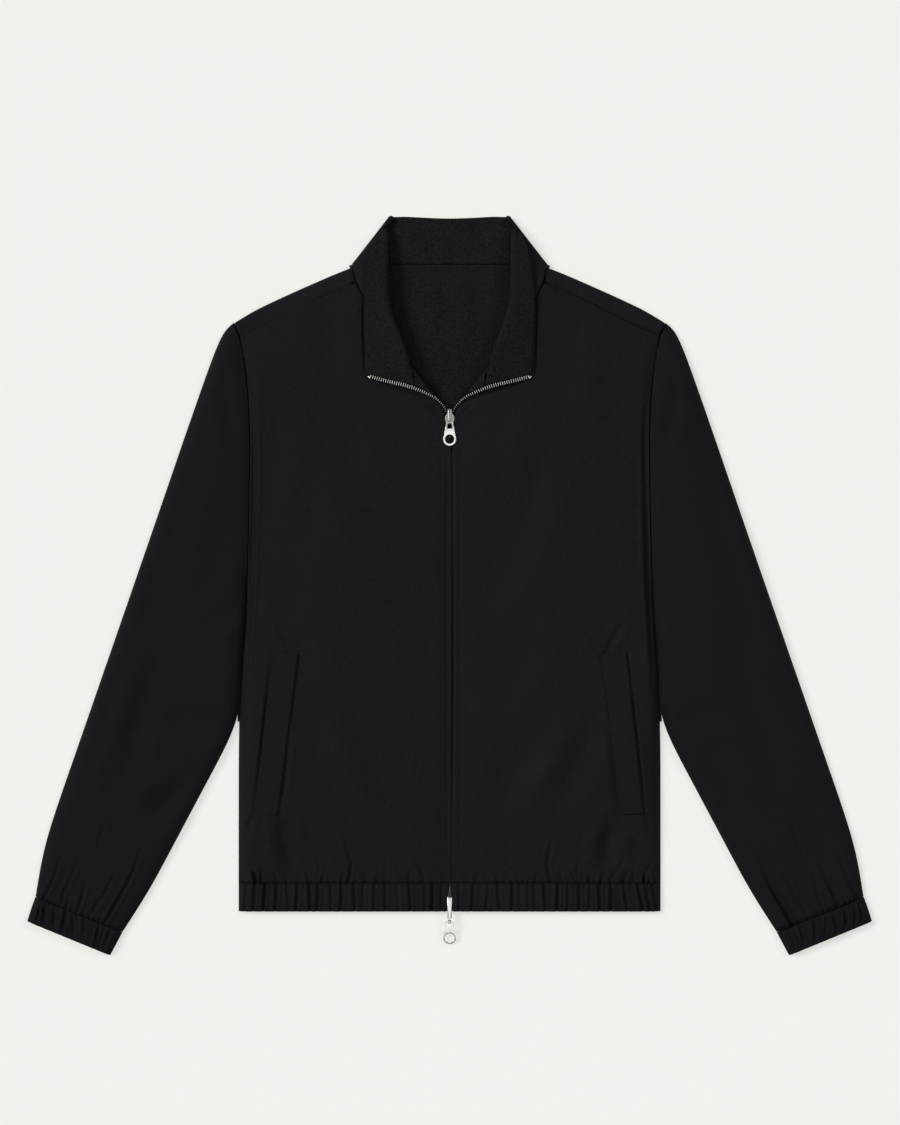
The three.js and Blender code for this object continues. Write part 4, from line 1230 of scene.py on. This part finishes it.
def zip_level(y: float) -> float:
    """Returns the height of the closed tape at a place along it.

    Args:
        y: the place, in mm above the hem's edge.

    Returns:
        The height in mm.
    """
    start, run = ZIP_RISE
    t = min(max((y - start) / run, 0), 1)
    return ZIP_HEM_LEVEL + (ZIP_TOP_LEVEL - ZIP_HEM_LEVEL) * t * t * (3 - 2 * t)


@dataclass
class ZipTape:
    """The woven tapes, their teeth and the stops at the collar's ends."""

    pitch: float = 2.35
    tooth_reach: float = 3.9  # across the tape
    tooth_width: float = 0.85  # along the tape
    tooth_height: float = 2.2
    chain_drop: float = 0.8  # the closed chain hangs below the middle of its tape
    chain_settle: float = 60.0  # place above the hem from which it hangs so far
    closed: tuple[float, float] = (13.0, 508.0)  # the closed chain's first and last tooth
    middle: float = 1.15  # from the zip's middle to a closed tooth's own
    # each starts at a place above the hem and gains its last number over its second
    hem_rise: tuple[float, float, float] = (36.0, 10.0, 2.2)  # the chain comes up where it shows
    hem_spread: tuple[float, float, float] = (26.0, 12.0, 0.9)  # the rows part towards the lower slider
    head_spread: tuple[float, float, float] = (500.0, 10.0, 1.6)  # and towards the top one
    tooth_root: float = 0.6  # share of a tooth that lies on its tape
    tooth_head: tuple[float, float, float] = (1.0, 0.72, 0.7)  # its head against its root
    tooth_edge: float = 0.22
    open_edge: Points = (
        (3.9, 524.6), (4.8, 527.8), (6.2, 530.5), (12.4, 537), (17.5, 540.8), (28, 545.6),
        (38.4, 549.6), (48.9, 552.9), (62.8, 556), (73.3, 558.7), (84, 561.6),
    )
    open_start: float = 1.2
    open_shown: float = 0.45  # share of a tooth that shows beside the slider, where the tape is edge on
    open_turned: float = 40.0  # from there to where the tape lies flat and all of it shows
    stop: tuple[float, float, float] = (1.5, 1.3, 1.3)  # half its size
    stop_at: tuple[float, float, float] = (84.3, 561.2, 16.4)
    stop_turn: float = 0.25
    tape_cut: Cut = Cut(10, 620, 4990)

    def build(self, garment: Garment) -> None:
        """Builds tapes, chain, open teeth and stops.

        Args:
            garment: the garment that it belongs to.
        """
        for name, side in SIDES.items():
            tape = garment.smooth_copy(f"zip_tape_{name}", 1)
            garment.finish_cloth(tape, TAPE, self.tape_cut)
            self._closed_row(garment, name, side)
            self._open_row(garment, name, side)
            self._stop(garment, name, side)

    def _tooth(self) -> bpy.types.Object:
        """Models one tooth, clamped on the tape, with its head towards +X.

        Returns:
            The tooth.
        """
        long, wide, high = self.tooth_reach, self.tooth_width, self.tooth_height
        item = add_box((-long * self.tooth_root, -wide / 2, -high / 2),
                       (long * (1 - self.tooth_root), wide / 2, high / 2), "tooth")
        reshape(item, lambda p: p.x > 0, resize=self.tooth_head)
        step = item.modifiers.new("soften", "BEVEL")
        step.width = self.tooth_edge * MM
        step.segments = 1
        apply_modifiers(item)
        return item

    def _closed_row(self, garment: Garment, name: str, side: int) -> None:
        """Interlocks one side's teeth down the middle of the closed zip.

        Args:
            garment: the garment that it belongs to.
            name: left or right.
            side: -1 for the left, 1 for the right.
        """
        places = []
        first, last = self.closed
        rise_from, rise_run, rise = self.hem_rise
        hem_from, hem_run, hem_gap = self.hem_spread
        head_from, head_run, head_gap = self.head_spread
        shift = self.pitch / 2 if side > 0 else 0.0
        for _, y, _ in along(((0, first + shift), (0, last)), self.pitch):
            spread = hem_gap * max(0.0, (hem_from - y) / hem_run)
            spread += head_gap * max(0.0, (y - head_from) / head_run)
            level = zip_level(y) + rise * max(0.0, min(1.0, (rise_from - y) / rise_run))
            level -= self.chain_drop * min(1, y / self.chain_settle)
            at = garment.layout.to_frame(side * (self.middle + spread), y, level)
            places.append(Matrix.Translation(at) @ Matrix.Rotation(0 if side < 0 else math.pi, 4, "Z"))
        row = copies(self._tooth(), places, f"zip_teeth_closed_{name}")
        dress(row, TEETH)

    def _open_row(self, garment: Garment, name: str, side: int) -> None:
        """Sets one side's teeth along the free edge of the turned-out corner.

        Args:
            garment: the garment that it belongs to.
            name: left or right.
            side: -1 for the left, 1 for the right.
        """
        places = []
        tape = garment.nodes[f"zip_tape_{name}"]
        shape = bmesh.new()
        shape.from_mesh(tape.data)
        tree = BVHTree.FromBMesh(shape)
        shape.free()
        for x, y, turn in along(self.open_edge, self.pitch, self.open_start):
            probe = garment.layout.to_frame(side * (x - 0.5 * math.sin(turn)), y + 0.5 * math.cos(turn), 14.0)
            near = tree.find_nearest(probe)[0]
            level = (near.z - garment.layout.origin.z) / MM
            at = garment.layout.to_frame(side * x, y, level + 0.1)
            across = turn - math.pi / 2 if side > 0 else math.pi - (turn - math.pi / 2)
            turned = min(1.0, (x - self.open_edge[0][0]) / self.open_turned)
            shown = self.open_shown + (1 - self.open_shown) * turned
            places.append(Matrix.Translation(at) @ Matrix.Rotation(across, 4, "Z")
                          @ Matrix.Diagonal((shown, 1, 1, 1)))
        row = copies(self._tooth(), places, f"zip_teeth_open_{name}")
        dress(row, TEETH)

    def _stop(self, garment: Garment, name: str, side: int) -> None:
        """Presses a small block over the tape's end.

        Args:
            garment: the garment that it belongs to.
            name: left or right.
            side: -1 for the left, 1 for the right.
        """
        item = add_box([-half for half in self.stop], self.stop, f"zip_stop_{name}_metal")
        reshape(item, lambda p: p.z > 0, resize=(0.8, 0.8, 1))
        soften(item, 0.4)
        x, y, z = self.stop_at
        at = garment.layout.to_frame(side * x, y, z)
        item.data.transform(Matrix.Translation(at) @ Matrix.Rotation(side * self.stop_turn, 4, "Z"))
        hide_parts(f"zip_stop_{name}")
        dress(item, NICKEL)


@dataclass
class Slider:
    """A slider: two plates on a post, with a strip and a bored nose that holds the pull tab's bar.

    Its own origin is the bar's axis at the level of the tape.
    """

    name: str
    at: tuple[float, float, float]
    body: tuple[float, float]  # tail and crown of its plates
    half: float  # half the plates' width
    strip: float  # the strip's width
    strip_ends: tuple[float, float]
    profile: tuple[tuple[float, float], ...]  # share of the plate's length and of its width
    finish: MetalFinish
    plate: tuple[float, float] = (1.2, 2.4)  # levels of the upper plate; the lower one mirrors it
    post_half: float = 0.5
    bar_level: float = 3.4
    nose_width: float = 3.0
    nose_radius: float = 2.3
    bore: float = 1.25
    strip_fall: float = 1.2  # how far the strip slopes down to the crown

    def build(self, garment: Garment) -> None:
        """Builds the slider in one piece.

        Args:
            garment: the garment that it belongs to.
        """
        crown = self.body[1]
        low, high = self.plate
        whole = self._plate(low, high)
        combine(whole, self._plate(-high, -low), "UNION")
        post = add_box((-self.post_half, crown - 4, -low - 0.3),
                       (self.post_half, crown - 1, low + 0.3), "post")
        combine(whole, post, "UNION")
        start, end = self.strip_ends
        strip = add_box((-self.strip / 2, start, high - 0.4),
                        (self.strip / 2, end, self.bar_level + self.nose_radius - 0.3), "strip")
        reshape(strip, lambda p: p.y > crown - 1 and p.z > high, move=(0, 0, -self.strip_fall))
        soften(strip, 0.5, 3)
        combine(whole, strip, "UNION")
        nose = add_rod((0, 0, self.bar_level), self.nose_radius, self.nose_width, "X", "nose")
        combine(whole, nose, "UNION")
        bore = add_rod((0, 0, self.bar_level), self.bore, self.nose_width + 4, "X", "bore")
        combine(whole, bore, "DIFFERENCE")
        soften(whole, 0.18, 2, 38)
        whole.name = f"zip_slider_{self.name}_metal"
        whole.data.transform(Matrix.Translation(garment.layout.to_frame(*self.at)))
        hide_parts(f"zip_slider_{self.name}")
        dress(whole, self.finish)

    def _plate(self, low: float, high: float) -> bpy.types.Object:
        """Models a plate, narrow at its tail and rounded at its crown.

        Args:
            low: its lower level, in mm.
            high: its upper level, in mm.

        Returns:
            The plate.
        """
        tail, crown = self.body
        item = add_box((-self.half, tail, low), (self.half, crown, high), "plate")
        subdivide(item, 3)
        length = crown - tail
        for share, width in self.profile:
            reshape(item, lambda p, y=tail + share * length: abs(p.y - y) < 0.1, resize=(width, 1, 1))
        reshape(item, lambda p: abs(p.x) < 0.1 and p.y > crown - 0.1, move=(0, 0.5, 0))
        return item


@dataclass
class PullTab:
    """A keyhole tab: a slotted shank that hangs on the slider's bar and ends in a ring."""

    name: str
    axis: tuple[float, float, float]
    tilt: float  # degrees below level
    half_thickness: float = 0.6
    top_half: float = 3.7
    flare: float = 1.62  # how much wider the shank is where it meets the ring
    slot_half: float = 2.6
    slot_end: float = -6.7
    ring_at: float = -17.7
    ring_out: float = 6.9
    ring_in: float = 4.9

    def build(self, garment: Garment) -> None:
        """Builds the tab about its bar and lays it at its place.

        Args:
            garment: the garment that it belongs to.
        """
        t = self.half_thickness
        tab = add_box((-self.top_half, self.ring_at + 3, -t), (self.top_half, t, t), "shank")
        reshape(tab, lambda p: p.y < self.ring_at + 4, resize=(self.flare, 1, 1))
        combine(tab, add_rod((0, self.ring_at, 0), self.ring_out, 2 * t, "Z", "ring", 56), "UNION")
        combine(tab, add_rod((0, self.ring_at, 0), self.ring_in, 6 * t, "Z", "hole", 48), "DIFFERENCE")
        slot = add_box((-self.slot_half, self.slot_end, -3 * t), (self.slot_half, -t, 3 * t), "slot")
        combine(tab, slot, "DIFFERENCE")
        soften(tab, 0.28, 3, 36)
        tab.name = f"zip_pull_{self.name}_metal"
        tab.data.transform(Matrix.Translation(garment.layout.to_frame(*self.axis))
                           @ Matrix.Rotation(math.radians(self.tilt), 4, "X"))
        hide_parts(f"zip_pull_{self.name}")
        dress(tab, NICKEL, f"pull_{self.name}")


# ------------------------------------------------------------------ sewing
@dataclass
class Joints:
    """The rolled turnings of the cloth, which fill the joints between the sewn pieces.

    Each is a low rope of the shell's cloth along a line of the right half, with the level of its middle.
    The shoulder's level is read from the cloth on both sides of the seam.
    """

    underarm: Places = ((222.0, 199.5, 1.7), (221.8, 206, 1.9), (220.8, 217, 1.8))
    underarm_width: float = 2.8
    armhole: Points = (
        (221.2, 206), (219.4, 262), (215.4, 300), (212.8, 350), (210.9, 425), (209.9, 499),
        (211.2, 536), (214.2, 566), (219.9, 602.5), (226.6, 618),
    )
    armhole_level: float = 1.5
    armhole_width: float = 2.8
    neck: Places = (
        (0, 680.8, 0.75), (40, 680.8, 0.75), (84, 680.4, 0.9), (105.2, 679, 1.5), (103.4, 675.4, 7.5),
        (101.8, 669, 10.5), (100.6, 662, 11.3), (95, 653, 11.8), (88.6, 643, 12), (79, 625, 12),
        (67, 604.5, 12), (53, 586.5, 12.3), (42, 573, 12.6),
    )
    neck_width: float = 1.6
    corner: Places = ((100.4, 666.5, 8.2), (102.0, 672, 6.2), (103.0, 675.6, 3.4))
    corner_width: float = 4.4
    shoulder: Points = (
        (220.2, 606.4), (194, 617.4), (152.7, 638.2), (126, 650.4), (112, 656), (105, 659.2), (99.5, 661.2),
    )
    shoulder_width: float = 2.2
    shoulder_step: float = 4.0
    shoulder_bank: float = 1.6  # from the seam to where the cloth's level is read
    shoulder_sink: float = 0.7  # how far the rope's middle lies below the cloth beside it
    shoulder_level: float = 9.0  # where there is no cloth to read

    def build(self, garment: Garment) -> None:
        """Lays a rope along each joint.

        Args:
            garment: the dressed garment.
        """
        height = garment.top_surface()
        for name, side in SIDES.items():
            armhole = [(x, y, self.armhole_level) for x, y in self.armhole]
            ropes: tuple[tuple[str, Places, float], ...] = (
                ("underarm", self.underarm, self.underarm_width),
                ("armhole", armhole, self.armhole_width),
                ("neck", self.neck, self.neck_width),
                ("corner", self.corner, self.corner_width),
                ("shoulder", self._on_shoulder(height, side), self.shoulder_width),
            )
            for joint, line, width in ropes:
                self._rope(garment, f"joint_{joint}_{name}", [(side * x, y, z) for x, y, z in line], width)

    def _on_shoulder(self, height: Callable[[float, float], float | None], side: int) -> Places:
        """Sets the shoulder's rope a little below the cloth on both sides of its seam.

        Args:
            height: gives the cloth's level at a place.
            side: -1 for the left, 1 for the right.

        Returns:
            The rope's line on the right half.
        """
        line = []
        for x, y, _ in along(self.shoulder, self.shoulder_step):
            banks = [height(side * x, y + step) or self.shoulder_level
                     for step in (-self.shoulder_bank, self.shoulder_bank)]
            line.append((x, y, sum(banks) / 2 - self.shoulder_sink))
        return line

    def _rope(self, garment: Garment, name: str, line: Sequence[tuple[float, float, float]],
              width: float) -> None:
        """Builds one rope of round section along a line, flattened where it meets the surface.

        Args:
            garment: the garment that it belongs to.
            name: the piece's name.
            line: its middle, in mm.
            width: its width in mm.
        """
        spine = bpy.data.curves.new(name, "CURVE")
        spine.dimensions = "3D"
        spine.bevel_mode = "ROUND"
        spine.bevel_depth = width / 2 * MM
        spine.bevel_resolution = 1
        spine.use_fill_caps = True
        strand = spine.splines.new("POLY")
        strand.points.add(len(line) - 1)
        for point, place in zip(strand.points, line):
            point.co = (*garment.layout.to_frame(*place), 1.0)
        item = new_object(name, spine)
        activate(item)
        bpy.ops.object.convert(target="MESH")
        item = bpy.context.active_object
        points = garment.layout.read(item.data)
        points[:, 2] = np.maximum(points[:, 2], 0.05)
        garment.layout.write(item.data, points)
        dress(item, SHELL)


@dataclass
class Stitching:
    """Lockstitches along the seams, each a short thread that dips into the cloth at its ends."""

    length: float = 2.5
    pitch: float = 3.2
    thick: float = 0.5
    sink: float = 0.1
    taper: tuple[float, float, float] = (1.0, 0.45, 0.45)  # a stitch's ends against its middle
    dip: float = 0.4  # share of its thickness by which its ends dip
    seams: tuple[tuple[str, Points], ...] = (
        ("placket", ((9.8, 36), (9.8, 260), (9.8, 512))),
        ("welt", ((185.6, 266), (201.4, 108))),
        ("welt_inner", ((156.5, 270), (178.6, 102))),
        ("shoulder", ((218, 601), (194, 611), (152.7, 631), (126, 643.5), (106, 653))),
    )

    def build(self, garment: Garment) -> None:
        """Sews the zip's edges, the welts and the shoulders.

        Args:
            garment: the garment that it belongs to.
        """
        height = garment.top_surface()
        for name, side in SIDES.items():
            for seam, line in self.seams:
                places = []
                for x, y, turn in along(mirrored(line, side), self.pitch, 1.0):
                    z = height(x, y)
                    if z is None:
                        continue
                    at = garment.layout.to_frame(x, y, z + self.thick * 0.25 - self.sink)
                    places.append(Matrix.Translation(at) @ Matrix.Rotation(turn, 4, "Z"))
                row = copies(self._stitch(), places, f"stitches_{seam}_{name}")
                for face in row.data.polygons:
                    face.use_smooth = True
                dress(row, THREAD)

    def _stitch(self) -> bpy.types.Object:
        """Models one stitch along X.

        Returns:
            The stitch.
        """
        half, thin = self.length / 2, self.thick / 2
        item = add_box((-half, -thin, -thin), (half, thin, thin), "stitch")
        subdivide(item, 1)
        reshape(item, lambda p: abs(abs(p.x) - half) < 0.01, resize=self.taper,
                move=(0, 0, -self.thick * self.dip))
        return item


# ------------------------------------------------------------------ studio
@dataclass
class Studio:
    """A pale floor, a soft dome, a soft light from each side, two panels and a camera straight above."""

    floor_size: float = 8.0  # m
    floor_gap: float = 0.0002  # m below the garment
    floor_colour: str = "#F3F4EF"
    floor_matte: float = 0.35  # share of the floor's light that it reflects; the rest it gives off itself
    floor_glow: float = 0.63
    dome: float = 0.19
    # degrees across and up from straight above, and strength
    suns: tuple[tuple[float, float, float], ...] = ((-48.0, 22.0, 2.45), (44.0, 26.0, 0.87))
    sun_angle: float = 24.0
    # panels that the flat metal mirrors: degrees of lean towards the hem, width in m and power in W
    panels: tuple[tuple[float, float, float], ...] = ((0.0, 2.4, 14.2), (28.0, 2.2, 11.5))
    panel_distance: float = 4.5  # m
    lens: float = 120.0
    sensor: float = 36.0
    view_height: float = 1181.0  # mm of the surface seen from top to bottom
    aim: tuple[float, float, float] = (0.4, 366.9, 12.0)  # mm

    def build(self, layout: Layout) -> None:
        """Builds the surroundings.

        Args:
            layout: the garment's layout.
        """
        deselect()
        bpy.ops.mesh.primitive_plane_add(size=self.floor_size,
                                         location=(0, 0, layout.origin.z - self.floor_gap))
        floor = bpy.context.active_object
        floor.name = "floor"
        floor.data.materials.append(self._paper())
        world = bpy.data.worlds.new("dome")
        world.use_nodes = True
        backdrop = world.node_tree.nodes["Background"]
        backdrop.inputs["Color"].default_value = (1.0, 1.0, 1.0, 1.0)
        backdrop.inputs["Strength"].default_value = self.dome
        bpy.context.scene.world = world
        self._lights()
        self._camera(layout)
        bpy.context.scene.view_settings.view_transform = "Standard"
        bpy.context.scene.view_settings.look = "None"

    def _lights(self) -> None:
        """Hangs the two suns and the two panels."""
        for across, up, strength in self.suns:
            light = bpy.data.lights.new("softbox", "SUN")
            light.energy = strength
            light.angle = math.radians(self.sun_angle)
            lamp = bpy.data.objects.new("softbox", light)
            towards = Vector((-math.tan(math.radians(across)), -math.tan(math.radians(up)), -1)).normalized()
            lamp.rotation_euler = towards.to_track_quat("-Z", "Y").to_euler()
            bpy.context.scene.collection.objects.link(lamp)
        for lean, wide, power in self.panels:
            panel = bpy.data.lights.new("panel", "AREA")
            panel.shape = "DISK"
            panel.size = wide
            panel.energy = power
            hung = bpy.data.objects.new("panel", panel)
            turn = Matrix.Rotation(math.radians(lean), 4, "X")
            hung.matrix_world = turn @ Matrix.Translation((0, 0, self.panel_distance))
            bpy.context.scene.collection.objects.link(hung)

    def _paper(self) -> bpy.types.Material:
        """Makes the matte, lit-through paper of the floor, on which shadows stay faint.

        Returns:
            The material.
        """
        made = bpy.data.materials.new("pale_paper")
        made.use_nodes = True
        shader = made.node_tree.nodes["Principled BSDF"]
        red, green, blue, alpha = linear(self.floor_colour)
        matte = self.floor_matte
        shader.inputs["Base Color"].default_value = (matte * red, matte * green, matte * blue, alpha)
        shader.inputs["Emission Color"].default_value = (red, green, blue, alpha)
        shader.inputs["Emission Strength"].default_value = self.floor_glow
        shader.inputs["Roughness"].default_value = 1.0
        shader.inputs["Specular IOR Level"].default_value = 0.0
        return made

    def _camera(self, layout: Layout) -> None:
        """Hangs the camera over the garment's middle.

        Args:
            layout: the garment's layout.
        """
        data = bpy.data.cameras.new("overhead_camera")
        data.lens = self.lens
        data.sensor_fit = "VERTICAL"
        data.sensor_height = self.sensor
        camera = bpy.data.objects.new("overhead_camera", data)
        distance = self.view_height * self.lens / self.sensor
        across, up, level = self.aim
        camera.location = layout.to_frame(across, up, level + distance)
        bpy.context.scene.collection.objects.link(camera)
        bpy.context.scene.camera = camera


def main() -> None:
    """Builds the jacket around its frame."""
    logging.basicConfig(level=logging.INFO, format="%(name)s: %(message)s")
    garment = Garment()
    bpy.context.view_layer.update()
    sub_assemblies = [
        BackPanel(), FrontPanels(), HemBand(), Sleeve("left"), Sleeve("right"), Collar(), PocketWelts(),
        ZipTape(),
        Slider("top", at=(0, 514.2, ZIP_TOP_LEVEL), body=(-1.8, 13.6), half=4.85, strip=3.0,
               strip_ends=(1.2, 13.2), finish=CAST,
               profile=((0.0, 0.66), (0.25, 0.95), (0.5, 1.0), (0.75, 0.5), (1.0, 0.36))),
        Slider("bottom", at=(0, -10.6, ZIP_HEM_LEVEL), body=(10.8, 25.0), half=2.9, strip=4.6,
               strip_ends=(3.2, 25.6), finish=NICKEL,
               profile=((0.0, 0.7), (0.25, 0.8), (0.5, 0.95), (0.75, 1.0), (1.0, 0.7))),
        PullTab("top", axis=(0, 514.2, 11.6), tilt=0.0), PullTab("bottom", axis=(0, -10.6, 7.8), tilt=14.0),
        Joints(), Stitching(),
    ]
    Studio().build(garment.layout)
    for sub_assembly in sub_assemblies:
        LOG.info("building %s", type(sub_assembly).__name__)
        sub_assembly.build(garment)


if __name__ == "__main__":
    main()
